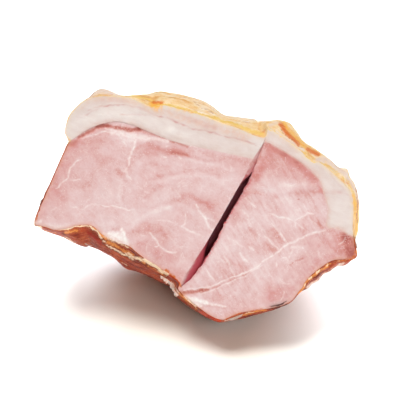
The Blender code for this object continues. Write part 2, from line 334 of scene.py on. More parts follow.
class Outline:
    """The outside of the chunk, sampled at points a step apart along the edge of the cut."""

    def __init__(self, step):
        samples = curve(EDGE, step, closed=True)
        scale = 3.4 * MM / step  # the solids take a point every 3.4 mm
        self.edge = samples[:, :2]
        self.outwards = softened(left_of(self.edge), round(2 * scale))
        full = self.edge + self.outwards * samples[:, 2:]
        self.full = softened(full, round(scale))
        self.rounded = softened(softened(self.full, round(6 * scale)), round(6 * scale))
        self.lip, self.lip_share, _ = to_line(self.edge, (LIP_FROM, LIP_TO))

    def lip_nearness(self):
        return smooth(1 - self.lip / LIP_REACH) * smooth(4 * self.lip_share)

    def ring(self, depth, inset=0.0, relief=None, share=None):
        """The points round the outside at a depth, or where the back has narrowed to a share
        of the full width, moved in by an inset and out by a relief."""
        reach = DEPTH - np.mean(inset)
        if share is None:
            share = (1 - min(max(depth, 0.0) / reach, 0.9999) ** BACK_BLUNTNESS) ** (
                1 / BACK_BLUNTNESS
            )
        else:
            depth = reach * (1 - share**BACK_BLUNTNESS) ** (1 / BACK_BLUNTNESS)
        swell = math.sin(math.pi / 2 * min(max(depth - RIM_DEPTH, 0.0) / SWELL_DEPTH, 1.0))
        rounding = smooth((depth - SWELL_DEPTH) / ROUNDING_DEPTH)
        side = self.edge + (self.full - self.edge) * swell
        side += (self.rounded - side) * rounding
        middle = HEART + BACK_SHIFT * (max(depth, 0.0) / DEPTH) ** 1.5
        flat = middle + (side - HEART) * share
        at = np.column_stack((flat, np.full(len(flat), -depth)))
        rise = waver(at, LUMP_SIZE) * LUMP_HEIGHT * swell
        rise += waver(at, CRAG_SIZE) * CRAG_HEIGHT * smooth(depth / CRAG_START)
        rise -= HOLLOW * self.lip_nearness() * bell((depth - HOLLOW_AT) / HOLLOW_WIDTH)
        rise = rise - inset
        if relief is not None:
            rise = rise + relief(self, at, depth)
        at[:, :2] += self.outwards * (rise * smooth(3 * share))[:, None]
        return at


# ---------------------------------------------------------------- making solids


def solid(name, bm):
    """An object of a closed bmesh, with its faces turned outwards."""
    bmesh.ops.recalc_face_normals(bm, faces=bm.faces)
    mesh = bpy.data.meshes.new(name)
    bm.to_mesh(mesh)
    bm.free()
    obj = bpy.data.objects.new(name, mesh)
    bpy.context.scene.collection.objects.link(obj)
    return obj


def loft(name, rings, pole=None):
    """A closed solid through rings of points; it ends in the pole, or else flat."""
    bm = bmesh.new()
    bmesh.ops.create_circle(bm, cap_ends=True, segments=len(rings[0]), radius=1)
    cap = bm.faces[:][0]
    for corner, point in zip(cap.verts, rings[0]):
        corner.co = point
    for ring in rings[1:]:
        front = [cap, *cap.edges, *cap.verts]
        made = bmesh.ops.extrude_face_region(bm, geom=front)["geom"]
        cap = next(item for item in made if isinstance(item, bmesh.types.BMFace))
        for corner, point in zip(cap.verts, ring):
            corner.co = point
    if pole is not None:
        bmesh.ops.poke(bm, faces=[cap])["verts"][0].co = pole
    return solid(name, bm)


def combine(obj, other, operation):
    """Keeps what obj shares with the other solid, or what the other leaves of it."""
    modifier = obj.modifiers.new(operation, "BOOLEAN")
    modifier.operation = operation
    modifier.object = other
    modifier.solver = "MANIFOLD"
    graph = bpy.context.evaluated_depsgraph_get()
    mesh = bpy.data.meshes.new_from_object(obj.evaluated_get(graph))
    obj.modifiers.clear()
    before, obj.data = obj.data, mesh
    bpy.data.meshes.remove(before)


def copy_of(obj, name):
    made = obj.copy()
    made.data = obj.data.copy()
    made.name = made.data.name = name
    bpy.context.scene.collection.objects.link(made)
    return made


def corners(mesh):
    """The corners of a mesh, as an array of points."""
    points = np.empty(len(mesh.vertices) * 3)
    mesh.vertices.foreach_get("co", points)
    return points.reshape(-1, 3)


def fat_floor(stations):
    return curve(stations, FAT_FLOOR_STEP, closed=False)


def core():
    """Everything below the fat and out past the chunk."""
    floor = np.vstack((fat_floor(FAT_FLOOR_LEFT), fat_floor(FAT_FLOOR_RIGHT)))
    even = softened(softened(floor, 10, closed=False), 10, closed=False)
    rings = []
    for depth in np.array(CORE_DEPTHS) * MM:
        closing = 1 - FAT_WRAP * smooth(depth / FAT_WRAP_DEPTH)
        evening = smooth((depth - SLIT_DEPTH / 2) / SLIT_DEPTH)
        top = HEART + (floor + (even - floor) * evening - HEART) * closing
        outline = np.vstack((top, np.array(CORE_BEYOND) * MM))
        rings.append(np.column_stack((outline, np.full(len(outline), -depth))))
    return loft("core", rings)


def beside_slit(places):
    """How far along the slit each place is, from 0 to 1, and how far to the right of it."""
    away = places[:, :2] - SLIT_TOP
    return away @ SLIT_RUN / (SLIT_RUN @ SLIT_RUN), away @ SLIT_ACROSS


def crack():
    """How far along the slit each place of the crack is, its middle and half-width across the
    slit, and the depth at which it opens."""
    table = np.array(CRACK)
    along, middle = beside_slit(np.array([on_cut(place) for place in table[:, :2]]))
    return along, middle, table[:, 2] * PIXEL, table[:, 3] * MM


def along_slit(along, sizes):
    """Sizes given in millimetres at even steps of the slit, read at shares of its length."""
    return np.interp(along, np.linspace(0, 1, len(sizes)), np.array(sizes) * MM)


def jutting(at, height, side, along):
    """How far the right wall of the slit juts out at each place, away from its two ends."""
    steps = np.column_stack((at, height / 2))
    rough = waver(steps, ROUGH_COARSE) + 0.6 * waver(steps, ROUGH_FINE, 3.3)
    ends = smooth(8 * along) * smooth(8 * (1 - along))
    return SLIT_ROUGHNESS * rough * smooth(side * 4 - 3) * ends


def slit():
    """The space inside the knife cut: an open mouth, and a narrow crack below it."""
    bm = bmesh.new()
    bmesh.ops.create_cube(bm, size=2)
    bmesh.ops.subdivide_edges(bm, edges=bm.edges, cuts=SLIT_CUTS, use_grid_fill=True)
    side, along, up = ((np.array([vert.co for vert in bm.verts]) + 1) / 2).T
    stations, middles, halves, depths = crack()
    middle, half, opening = (np.interp(along, stations, row) for row in (middles, halves, depths))
    width, stray = along_slit(along, SLIT_WIDTHS), along_slit(along, SLIT_STRAY)
    middle = np.clip(middle - stray, half, np.maximum(width - half, half))
    above = np.clip((up - MOUTH_TO) / (1 - MOUTH_TO), 0, 1)
    mouth = np.clip((MOUTH_TO - up) / (MOUTH_TO - MOUTH_FROM), 0, 1)
    down = np.clip((MOUTH_FROM - up) / MOUTH_FROM, 0, 1)
    bow = np.maximum(np.sin(math.pi * along), 0.01) ** 0.6
    height = SLIT_CLEARANCE * above - opening * mouth - CRACK_DEPTH * bow * down
    narrow = half * (1 - CRACK_CLOSING * down)
    left = (middle - narrow) * mouth
    right = width + (middle + narrow - width) * mouth
    aside = stray + SLIT_VEER * down * (2 * along - 1) ** 2 + left + (right - left) * side
    at = SLIT_TOP + SLIT_RUN * along[:, None] + SLIT_ACROSS * aside[:, None]
    at += SLIT_ACROSS * (jutting(at, height, side, along) * (1 - down))[:, None]
    for vert, place, level in zip(bm.verts, at, height):
        vert.co = (*place, level)
    return solid("slit", bm)


# ---------------------------------------------------------------- marks, by photograph pixels
# A mark is (width, strength, places): a soft line through the places.

# Fine white seams of fat and sinew in the meat left of the slit
SEAMS_LEFT = (
    (1.2, 0.9, ((120, 133), (128, 136), (136, 140), (134, 147), (132, 153), (130, 159),
                (128.5, 165))),
    (1.0, 0.7, ((128.5, 165), (126, 170), (128, 176), (131, 180))),
    (1.6, 0.5, ((122, 170.5), (127, 171))),
    (0.8, 0.8, ((95, 134), (105, 131.5), (114, 133), (121, 138), (127, 146))),
    (0.8, 0.75, ((83, 159), (76, 162), (71, 167.5), (68.5, 174), (68, 178), (62, 183),
                 (55.5, 189))),
    (0.7, 0.6, ((68, 178), (72, 181), (80, 180))),
    (0.7, 0.7, ((73, 208), (76, 207), (81, 210), (84, 209), (88, 205.5), (93, 204.3),
                (100, 204.4))),
    (0.8, 0.8, ((100, 204.4), (105, 207.5), (110, 206), (117, 207), (122, 208), (128, 211),
                (134, 210))),
    (0.6, 0.5, ((91, 197), (87, 200), (86, 204))),
    (0.7, 0.45, ((76, 207), (80, 214), (84, 217))),
    (0.6, 0.55, ((124.5, 220.8), (128.5, 221.4))),
    (1.0, 0.9, ((185.5, 214), (186.5, 219), (184.5, 225), (181.5, 227))),
    (0.9, 0.7, ((180.5, 226), (184, 228.5), (190, 230.5), (197, 233.5), (204, 237.5))),
    (1.2, 0.95, ((196, 204.5), (199, 211), (204.5, 217.5), (207.5, 223), (210, 228), (213, 231))),
    (0.8, 0.6, ((204.5, 217.5), (210, 219), (214, 222))),
    (0.7, 0.65, ((158.5, 219.3), (162.5, 219.8), (167, 221.5), (173.5, 223.3))),
    (0.9, 0.95, ((148.5, 232.3), (153.4, 237.4), (156.6, 240.6), (159, 245.5), (161.5, 248.3))),
    (0.9, 0.9, ((161.5, 248.3), (166.5, 251.6), (171.5, 253.2), (176, 253))),
    (0.7, 0.7, ((154.6, 247.2), (157, 247.2), (159.4, 245.8))),
    (0.7, 0.5, ((166.8, 235.5), (170, 236.8), (173, 239))),
    (0.7, 0.55, ((175, 189.5), (178, 193), (180.5, 197.5))),
    (0.9, 0.5, ((144.2, 190.6), (148.4, 192.2))),
    (0.8, 0.45, ((142, 200.3), (146, 201))),
    (0.9, 0.75, ((163.3, 156.2), (166.5, 157))),
    (1.1, 0.8, ((179.2, 157.2), (181.8, 159.3))),
    (0.9, 0.7, ((188.8, 147), (192, 146), (197, 146.8))),
    (0.8, 0.6, ((164.5, 141), (168.8, 141))),
    (0.8, 0.55, ((166, 145.8), (170, 145.2))),
    (0.6, 0.4, ((174, 239.5), (178, 247), (183, 249))),
    (0.6, 0.4, ((136, 233), (141, 236), (145, 235))),
    (0.6, 0.4, ((134, 241.5), (138, 243.5))),
    (0.6, 0.35, ((222, 160), (223, 167), (228, 170))),
    (0.6, 0.4, ((230, 163), (231, 171))),
    (0.6, 0.35, ((199, 182), (202, 189), (200, 194))),
    (0.6, 0.35, ((96, 172), (102, 168), (108, 169))),
    (0.6, 0.35, ((80, 149), (86, 152), (88, 158))),
    (0.6, 0.35, ((50, 212), (56, 208), (61, 210))),
)
# The same right of it
SEAMS_RIGHT = (
    (1.2, 0.85, ((326, 229.5), (314.5, 232.3), (302, 237.6), (289, 243.8), (280, 250),
                 (270, 256.5))),
    (0.9, 0.85, ((270, 256.5), (263, 261.5), (256.5, 266.8), (250, 270.4), (243, 274),
                 (231, 277.3))),
    (0.8, 0.75, ((231, 277.3), (224, 280.5), (216, 284.6), (207, 287.4), (195, 288.6),
                 (183, 290.4))),
    (0.7, 0.7, ((263, 264.6), (252.5, 270.6), (246, 275.4), (238, 278.6), (228, 283.2),
                (216, 288.5))),
    (0.7, 0.6, ((216, 288.5), (206, 292.5), (197, 294.4))),
    (1.1, 0.85, ((293.6, 220.2), (284, 217.6), (275.7, 215), (270, 214.3))),
    (1.1, 0.85, ((293.6, 220.2), (300, 217.6), (307.6, 213.2), (314.6, 213.2))),
    (0.9, 0.75, ((293.6, 220.2), (295.5, 227.4))),
    (0.8, 0.6, ((295.2, 222), (300.6, 226), (304, 229.5))),
    (0.7, 0.55, ((303.8, 204.2), (306, 209), (307.6, 213))),
    (0.7, 0.5, ((307.6, 217.6), (312, 221.5), (317, 224.8))),
    (0.8, 0.75, ((245.5, 197.5), (250, 202), (256.3, 208.2))),
    (0.9, 0.6, ((240.5, 209), (247.5, 215.5), (250.5, 221))),
    (0.9, 0.8, ((272.3, 223.4), (277, 229), (282, 235), (286.5, 243.8))),
    (0.9, 0.7, ((264.5, 235.5), (271, 242), (278, 249))),
    (0.8, 0.65, ((249.2, 246.3), (254, 251))),
    (1.3, 0.9, ((240.2, 253), (244, 258.5), (247.6, 263.5))),
    (1.1, 0.85, ((223.8, 256), (227, 260.5), (229.8, 264.6))),
    (0.8, 0.5, ((229.8, 264.6), (232, 270), (235, 276))),
    (0.8, 0.65, ((204, 268), (209, 273.5), (214.5, 280.5))),
    (0.7, 0.5, ((255, 236), (258, 242), (262, 247))),
    (0.7, 0.5, ((234, 240), (239, 245), (243, 247))),
    (0.6, 0.5, ((226, 235), (230, 242))),
    (0.7, 0.45, ((216, 252), (219, 258), (224, 262))),
    (0.6, 0.45, ((258, 222), (262, 229), (263, 233))),
    (0.6, 0.4, ((262, 203), (266, 208), (271, 211))),
    (0.6, 0.4, ((236, 222), (240, 228))),
    (0.7, 0.6, ((345.8, 236.8), (342.6, 242), (338.2, 245))),
    (1.0, 0.7, ((282.5, 258.5), (286, 258), (288.6, 260.5))),
    (1.0, 0.65, ((292.5, 249), (291, 254), (289, 258.5))),
    (0.8, 0.55, ((277, 262), (277, 267))),
    (1.6, 0.55, ((291, 247.6), (297, 246.4), (303.5, 247.6))),
    (0.7, 0.65, ((280.6, 279.5), (285.7, 284), (290, 284))),
    (0.7, 0.6, ((283.8, 291), (283.2, 297.4), (280.6, 301.2))),
    (0.8, 0.5, ((241, 303), (243.5, 308))),
    (0.7, 0.4, ((318, 250), (320, 256), (324, 259))),
    (0.6, 0.5, ((283, 182), (289, 186), (297, 184.5))),
    (0.6, 0.4, ((275, 170), (278, 175))),
)
# Warmer, rosier meat near the edges
ROSY = (
    (7.0, 0.6, ((70, 143), (62, 160), (54, 180), (46, 200), (40, 216))),
    (9.0, 0.42, ((70, 168), (62, 190), (60, 212))),
    (8.0, 0.2, ((106, 180), (114, 188))),
    (7.0, 0.4, ((80, 149), (88, 151))),
    (9.0, 0.5, ((140, 248), (156, 252), (170, 262), (180, 274))),
    (8.0, 0.35, ((172, 252), (188, 256))),
    (6.0, 0.5, ((148, 151), (166, 152), (190, 153))),
    (7.0, 0.3, ((222, 163), (240, 166))),
    (5.0, 0.45, ((206, 200), (212, 208), (216, 214))),
    (3.0, 0.5, ((263, 146), (257, 157), (251, 168))),
    (5.0, 0.75, ((272, 150), (263, 164), (256, 177))),
    (4.0, 0.6, ((256, 177), (248, 191), (241, 204), (233, 220))),
    (9.0, 0.5, ((264, 170), (278, 173), (292, 174), (302, 179))),
    (5.0, 0.9, ((268, 144), (284, 155), (299, 165), (312, 178), (322, 190))),
    (7.0, 0.1, ((345, 238), (349, 248), (344, 256))),
    (10.0, 0.42, ((346, 246), (328, 250), (310, 255))),
    (6.0, 0.35, ((326, 238), (336, 240))),
    (9.0, 0.45, ((302, 262), (294, 274), (286, 286), (272, 294))),
    (8.0, 0.35, ((272, 294), (256, 299), (240, 303))),
    (8.0, 0.3, ((296, 236), (312, 240))),
    (5.0, 0.4, ((336, 254), (318, 262), (304, 278), (292, 294), (270, 303))),
    (5.0, 0.35, ((75, 142), (86, 136), (100, 130))),
    (9.0, 0.12, ((150, 180), (170, 172), (190, 170))),
    (7.0, 0.35, ((206, 206), (196, 200), (186, 196))),
)
# Orange-brown on the meat, right at the crust
SCORCHED = (
    (2.0, 1.1, ((165, 270.6), (170, 274.4), (175.6, 279.6), (180, 286))),
    (1.5, 0.6, ((128, 251), (140, 258), (152, 264))),
    (0.9, 0.9, ((36, 219), (40, 206), (46, 191), (53, 174), (60, 157), (67, 145))),
    (1.2, 0.9, ((298, 298), (303, 290), (308, 282), (316, 275), (326, 268), (336, 262))),
    (1.2, 0.8, ((336, 262), (346, 259), (354, 256), (356, 247))),
    (1.0, 0.7, ((224, 319), (238, 315), (250, 311), (262, 309))),
)
# Broad patches of white fat on the meat
WHITE_FAT = (
    (3.8, 1.2, ((110, 233.5), (118, 235.5), (124, 239.5), (127, 244))),
    (2.4, 0.9, ((121.6, 229.5), (124.5, 235.5))),
    (2.2, 0.95, ((103, 234), (111, 238), (121, 243.4))),
    (4.4, 0.62, ((112, 133), (121, 134), (130, 135.5), (140, 137), (149, 138.6))),
    (2.6, 0.5, ((124, 140), (134, 141))),
    (2.4, 0.5, ((148, 138), (157, 139), (167, 141.6))),
    (1.6, 0.6, ((105, 129), (112, 130.6), (120, 133))),
    (1.6, 0.45, ((82.3, 138.4), (88, 136.8), (95, 133.6))),
    (2.2, 1.1, ((186, 297), (191, 299.4), (196, 303), (201, 306.6))),
    (2.6, 0.95, ((193, 298), (200, 300.6), (207, 303.4))),
    (1.6, 0.6, ((207, 303), (216, 305), (226, 306.8))),
    (2.2, 0.5, ((36, 223), (41, 221.5))),
)
# Deep pink and red bands and patches: the darker the meat, the stronger. Some are painted shade
DEEP_AND_SHADE = (
    # painted shade under the lower edge of the fat, in this and the next four lines
    (1.7, 1.5, ((78, 137.5), (85, 134.2), (93, 129.4), (100, 125.8), (107, 124.6))),
    (2.0, 1.6, ((99, 127), (103.5, 126.3))),
    (1.7, 1.3, ((107, 125.5), (114, 127), (122, 128.5), (131, 129.3), (139, 128.5))),
    (1.7, 1.5, ((115, 128.5), (122, 129.7), (130, 130.2), (137, 128.8))),
    (1.5, 0.75, ((139, 129), (147, 132), (156, 135.6), (165, 138.6))),
    (2.4, 1.25, ((71, 145), (75, 142.4))),
    (3.2, 0.3, ((80, 142), (90, 143), (103, 140), (114, 143))),
    (2.6, 0.35, ((138, 147), (146, 144), (156, 147))),
    (1.2, 0.9, ((169.5, 141), (177.5, 142.4), (187, 147))),
    (2.8, 0.85, ((157, 148.5), (168.5, 151.5), (178, 153), (187.5, 154.6))),
    (1.5, 0.7, ((172, 153.6), (178, 153.8), (186.5, 154.8))),
    (2.4, 0.45, ((187.5, 156), (198, 158.6), (209, 161.2), (219, 161))),
    (2.6, 0.35, ((200, 151.5), (212, 155.5), (222, 156.5), (240, 160), (250, 162))),
    (2.2, 0.3, ((150.6, 163), (160, 165.8), (169.8, 166.4))),
    (2.2, 0.42, ((147, 180.4), (158, 177.6), (168, 175.2), (176, 173.2), (184, 171.8))),
    (2.6, 0.3, ((184, 171.8), (195, 170), (208, 171.4), (218, 174))),
    (2.6, 0.24, ((144.5, 197), (150, 193), (155, 188.4), (162.4, 185.6), (170, 184.6), (178, 188))),
    (2.2, 0.45, ((182.8, 194), (190, 195.6), (199, 200.5), (206, 203.8))),
    (3.0, 0.5, ((202, 201.5), (208, 205), (212, 207.4))),
    (2.6, 0.3, ((153, 208.6), (160, 205), (168, 203), (175, 201), (182, 200))),
    (2.0, 0.22, ((124.8, 179), (124.6, 188), (123.4, 199))),
    (2.6, 0.42, ((118, 172), (121, 176))),
    (2.6, 0.6, ((113, 228.4), (118, 228.6))),
    (5.5, 0.3, ((134, 232), (144, 228), (154, 230), (163, 238))),
    (3.2, 0.45, ((139, 244), (146, 243))),
    (3.0, 0.25, ((152, 252), (160, 258))),
    (4.0, 0.28, ((54, 186), (58, 195), (66, 199))),
    (3.4, 0.25, ((48, 204), (57, 206))),
    (3.0, 0.22, ((68, 216), (76, 221))),
    (6.0, 0.2, ((62, 168), (70, 158), (74, 152))),
    (3.0, 0.9, ((268, 143), (274, 149), (283, 153.5))),
    (3.6, 1.15, ((283, 153), (292, 158.5), (300, 165))),
    (3.4, 0.8, ((300, 165), (308, 172), (315, 178.5))),
    (6.0, 0.3, ((272, 158), (284, 165), (296, 173))),
    # painted shade along the top of the slit
    (1.4, 0.6, ((263, 148), (259, 156), (255.5, 163))),
    # painted shade in the knife groove, in this and the next line
    (2.4, 0.42, ((254, 191.5), (266, 195.5), (277, 196.5))),
    (2.4, 0.5, ((290, 193.5), (302, 192), (314, 192), (323, 192.4))),
    (1.1, 0.7, ((236, 201.5), (231, 210), (226, 219), (220.6, 229), (216.5, 240), (211, 249))),
    (3.4, 0.38, ((266, 245), (273, 251))),
    (3.0, 0.34, ((276, 234), (283, 242))),
    (3.0, 0.38, ((242, 265), (247, 268.5))),
    (3.2, 0.3, ((223, 270), (231, 276))),
    (3.6, 0.28, ((250, 229), (256, 236))),
    (3.0, 0.3, ((296, 230), (305, 230.6))),
    (2.0, 0.4, ((318, 222), (322, 226.5))),
    (2.0, 1.6, ((180, 293.6), (190, 292.4), (199, 291), (207, 290))),
    (0.8, 0.5, ((207, 290), (216, 287), (226, 282.4), (238, 278), (250, 272.4))),
    (8.0, 1.3, ((350, 240), (347, 251))),
    (4.5, 0.85, ((344, 236), (353, 246), (352, 254))),
    (4.0, 0.4, ((336, 232), (340, 240), (338, 250))),
    (2.2, 0.4, ((306, 243.5), (316, 246), (324, 244))),
    (0.7, 1.2, ((303.4, 258.8), (299.5, 260), (296, 261.8))),
    (0.7, 0.8, ((294.2, 263.5), (290, 265.8))),
    (0.7, 0.6, ((290.8, 250), (290.4, 255))),
    (0.7, 0.6, ((205.3, 264.8), (208.6, 267.5))),
    (4.5, 0.25, ((268, 286), (274, 295))),
    (3.4, 0.22, ((242, 288), (248, 292))),
    (4.5, 0.22, ((225, 297), (236, 299))),
    (3.4, 0.22, ((296, 268), (302, 274))),
    (1.2, 0.35, ((204.5, 307.8), (208.5, 305.2), (218, 307.8), (228, 308))),
    (0.7, 1.3, ((297.6, 199), (298.6, 199.2))),
)
# Paler bands and patches, two of them a painted highlight on the ridge above the knife groove
PALE_AND_HIGHLIGHT = (
    (12.0, 0.26, ((122, 192), (142, 192), (156, 190))),
    (7.0, 0.3, ((100, 224), (108, 225))),
    (6.0, 0.3, ((124, 213), (134, 218))),
    (7.0, 0.3, ((184, 220), (192, 228))),
    (7.0, 0.3, ((248, 236), (246, 250), (250, 262))),
    (12.0, 0.28, ((68, 224), (96, 220), (122, 222))),
    (10.0, 0.26, ((196, 178), (214, 186), (226, 190))),
    (14.0, 0.26, ((284, 208), (302, 212))),
    (12.0, 0.22, ((250, 292), (262, 284), (276, 276))),
    (9.0, 0.2, ((186, 232), (192, 244))),
    (2.4, 0.45, ((186, 158.6), (198, 161.4), (210, 164), (222, 166.5), (232, 170))),
    (2.4, 0.4, ((147, 183), (158, 180.6), (170, 178), (184, 175.2), (200, 175), (214, 178))),
    (2.8, 0.42, ((128, 230), (134, 224), (141, 218.6), (149, 214.6), (160, 209.2), (168, 206.6))),
    (2.2, 0.3, ((168, 206.6), (176, 204.6), (184, 204.4))),
    (2.6, 0.34, ((119, 180), (119.5, 190), (119, 200))),
    (4.5, 0.25, ((99, 176), (104, 186), (110, 196))),
    (3.5, 0.25, ((138, 165), (136, 178), (136, 192))),
    # painted highlight on the ridge above the knife groove, in this and the next line
    (3.0, 0.5, ((280, 184.5), (292, 185.4), (306, 184.6), (320, 185))),
    (3.0, 0.35, ((252, 186), (262, 189), (272, 190.5))),
    (6.0, 0.3, ((282, 202), (292, 206), (303, 206))),
    (5.0, 0.25, ((246, 226), (238, 238), (228, 248))),
    (4.0, 0.3, ((212, 258), (204, 268), (197, 278))),
    (4.0, 0.3, ((296, 252), (302, 250), (307, 254))),
    (4.5, 0.3, ((282, 263), (287, 270), (293, 272))),
    (4.0, 0.25, ((254, 280), (260, 290), (266, 303))),
    (3.5, 0.25, ((314, 252), (320, 254), (327, 254))),
    (3.5, 0.3, ((186, 208), (196, 214), (204, 228))),
    (5.0, 0.25, ((190, 250), (184, 262), (176, 268))),
    (2.4, 0.45, ((40, 223), (50, 226), (60, 227.5))),
    (3.4, 0.3, ((218, 184), (230, 180), (240, 172))),
    (3.0, 0.3, ((318, 196), (322, 206), (323, 216))),
)
# Pink lines in the fat, between its layers, and painted shade in the knife groove across it
FAT_LINES_AND_SHADE = (
    (0.8, 0.8, ((88, 110.5), (95, 107.6), (102, 106), (108, 105.4), (115, 104.8), (123, 105))),
    (0.9, 0.45, ((123, 105), (135, 107), (146, 110.6), (155, 115), (160, 116.6))),
    (1.0, 0.85, ((160, 116.4), (165, 117.2), (170, 119), (177, 122), (184, 125.6), (190, 127.8))),
    (0.9, 0.8, ((190, 127.8), (197, 129.2), (205, 130.4), (213, 132.6), (221, 135.6))),
    (0.7, 0.7, ((221, 135.6), (232, 137.6), (243, 140.4), (254, 144), (257, 146))),
    (0.8, 0.35, ((120, 114.2), (133, 114), (146, 115.6))),
    (0.8, 0.3, ((104, 101), (114, 101), (124, 102.4))),
    (0.7, 0.3, ((84, 116), (92, 111.6), (99, 108.6))),
    (0.8, 0.25, ((183, 116), (196, 120), (209, 124))),
    (2.6, 0.35, ((192, 121), (204, 125), (217, 129))),
    (3.0, 0.22, ((100, 98.6), (114, 98.8), (128, 101.5))),
    # painted shade in the knife groove across the fat
    (2.4, 0.3, ((324, 192.2), (334, 192.8), (345, 193.6))),
    (0.8, 0.3, ((344, 192), (349, 196), (351.5, 203))),
    (0.9, 0.3, ((330, 172), (338, 182), (343, 190))),
)
# The pinker outer layer of the fat
FAT_ROSE = (
    (4.5, 0.9, ((92, 98), (104, 96), (120, 98.6), (138, 103), (152, 109))),
    (4.5, 0.95, ((152, 109), (168, 113), (184, 118), (202, 123), (222, 129), (246, 138))),
    (3.0, 0.4, ((80, 108), (90, 102), (100, 99))),
    (2.6, 0.45, ((274, 135), (290, 146), (304, 157))),
)
# Darker marks on the fat: painted shade along its lower edge above the meat, and a darker patch
FAT_SHADE = (
    (1.6, 0.55, ((120, 123.6), (130, 124), (141, 128), (152, 132), (163, 136))),
    (2.0, 0.35, ((84, 131), (95, 124.6), (107, 121.6), (118, 122.6))),
    (2.2, 0.3, ((172, 138), (188, 142), (204, 146))),
    (9.0, 0.3, ((212, 142), (240, 148))),
)
FAT_WHITE = (
    (5.0, 0.75, ((76, 122), (88, 119), (100, 115), (116, 113.5), (134, 115.5), (152, 123),
                 (170, 130))),
    (3.4, 0.5, ((170, 129), (186, 135), (204, 138), (222, 143), (244, 150))),
    (5.0, 0.15, ((336, 205), (340, 216), (346, 224))),
)
# Yellow and orange on the fat and the rind
AMBER = (
    (2.6, 1.3, ((153.6, 102.6), (157, 102.6), (161, 103))),
    (0.9, 0.7, ((86, 100.6), (92, 97.6), (102, 95.4), (113, 94.8))),
    (1.6, 0.6, ((181, 109.6), (185, 111), (190, 111.4), (194, 111.6))),
    (1.0, 0.6, ((206, 110.6), (211, 112.2))),
    (1.3, 0.5, ((209, 115.6), (214, 117.8))),
    (1.8, 0.75, ((263, 133), (265, 130.2))),
    (2.4, 1.5, ((280, 124), (285, 130), (291, 137), (298, 143.6))),
    (1.6, 0.5, ((299, 142), (304, 146))),
    (2.3, 1.5, ((308, 149.6), (313, 152.4), (318.4, 155))),
    (1.7, 0.75, ((341.5, 178.6), (345, 181.6), (349, 185))),
    (1.0, 0.5, ((70, 113.4), (73, 115.4), (70.6, 118))),
)
# Bright yellow next to the cut
YELLOW = (
    (1.6, 0.9, ((133, 95.6), (142, 97.4), (150, 100), (158, 104), (166, 105.6))),
    (1.8, 0.9, ((166, 105), (176, 106.8), (188, 109.8), (200, 113.4), (210, 116.6))),
    (2.2, 1.0, ((210, 116.6), (219, 119.6), (228, 121.8), (236, 124), (243, 127))),
    (2.6, 1.0, ((243, 127.4), (249, 130), (256, 132.6), (262, 134.4))),
    (1.8, 0.8, ((349, 186), (353, 193), (356, 202), (357, 212), (357, 224), (356.6, 234))),
    (1.0, 0.9, ((268, 129), (276, 132.4), (284, 138), (292, 144), (300, 149), (306, 154.6))),
    (1.0, 0.9, ((306, 156), (312, 161.4), (320, 162.6), (329, 166.4), (338, 173), (345, 180))),
)
# Golden patches of the rind
GILDED = (
    (4.2, 1.3, ((152, 104), (156, 106.4), (160, 105.6))),
    (3.2, 1.3, ((283, 123.4), (289, 130.4), (295, 137.4), (303, 144.6))),
    (3.0, 1.1, ((303, 146.4), (312, 151), (320, 155))),
    (3.0, 0.6, ((178, 109), (186, 110.6), (194, 111.6))),
    (2.4, 0.5, ((216, 114), (228, 117), (240, 121), (250, 125))),
    (2.6, 0.6, ((262, 128), (268, 124), (274, 121))),
    (1.4, 0.8, ((344, 176), (349, 182), (353, 190))),
    (3.2, 1.3, ((354, 196), (357, 208), (358, 220), (357.6, 234))),
    (1.6, 0.7, ((70, 113), (68, 118))),
)
# Pale fleshy skin, where the smoke hasn't coloured it
FLESH = (
    (4.0, 1.0, ((87, 96), (95, 92), (102, 89.6), (110, 92), (118, 94))),
    (2.2, 0.8, ((270, 125), (277, 123))),
    (2.0, 0.9, ((276, 131), (286, 139), (296, 145.6), (304, 150.4))),
    (3.6, 1.0, ((318, 160), (326, 160), (334, 166), (342, 172), (349, 178))),
    (2.0, 0.7, ((352, 185), (356, 194), (358.6, 204))),
    (2.2, 0.8, ((343, 263), (336, 267.6), (328, 272.6), (321, 277.4), (313, 283.6), (307, 288))),
    (1.8, 0.9, ((163.5, 279), (168, 281.6), (172, 285), (175, 290), (178.5, 294.5))),
    (1.7, 0.7, ((224.5, 320.5), (230, 321), (234.5, 319.6))),
    (2.2, 0.9, ((34, 222), (38, 225.6))),
    (1.6, 1.0, ((74, 102), (67, 112), (65, 122), (66, 134))),
    (2.4, 0.9, ((350, 180), (355, 190), (358, 200))),
    (2.2, 0.7, ((232, 115), (244, 117.4), (256, 119.6), (266, 120.4))),
)
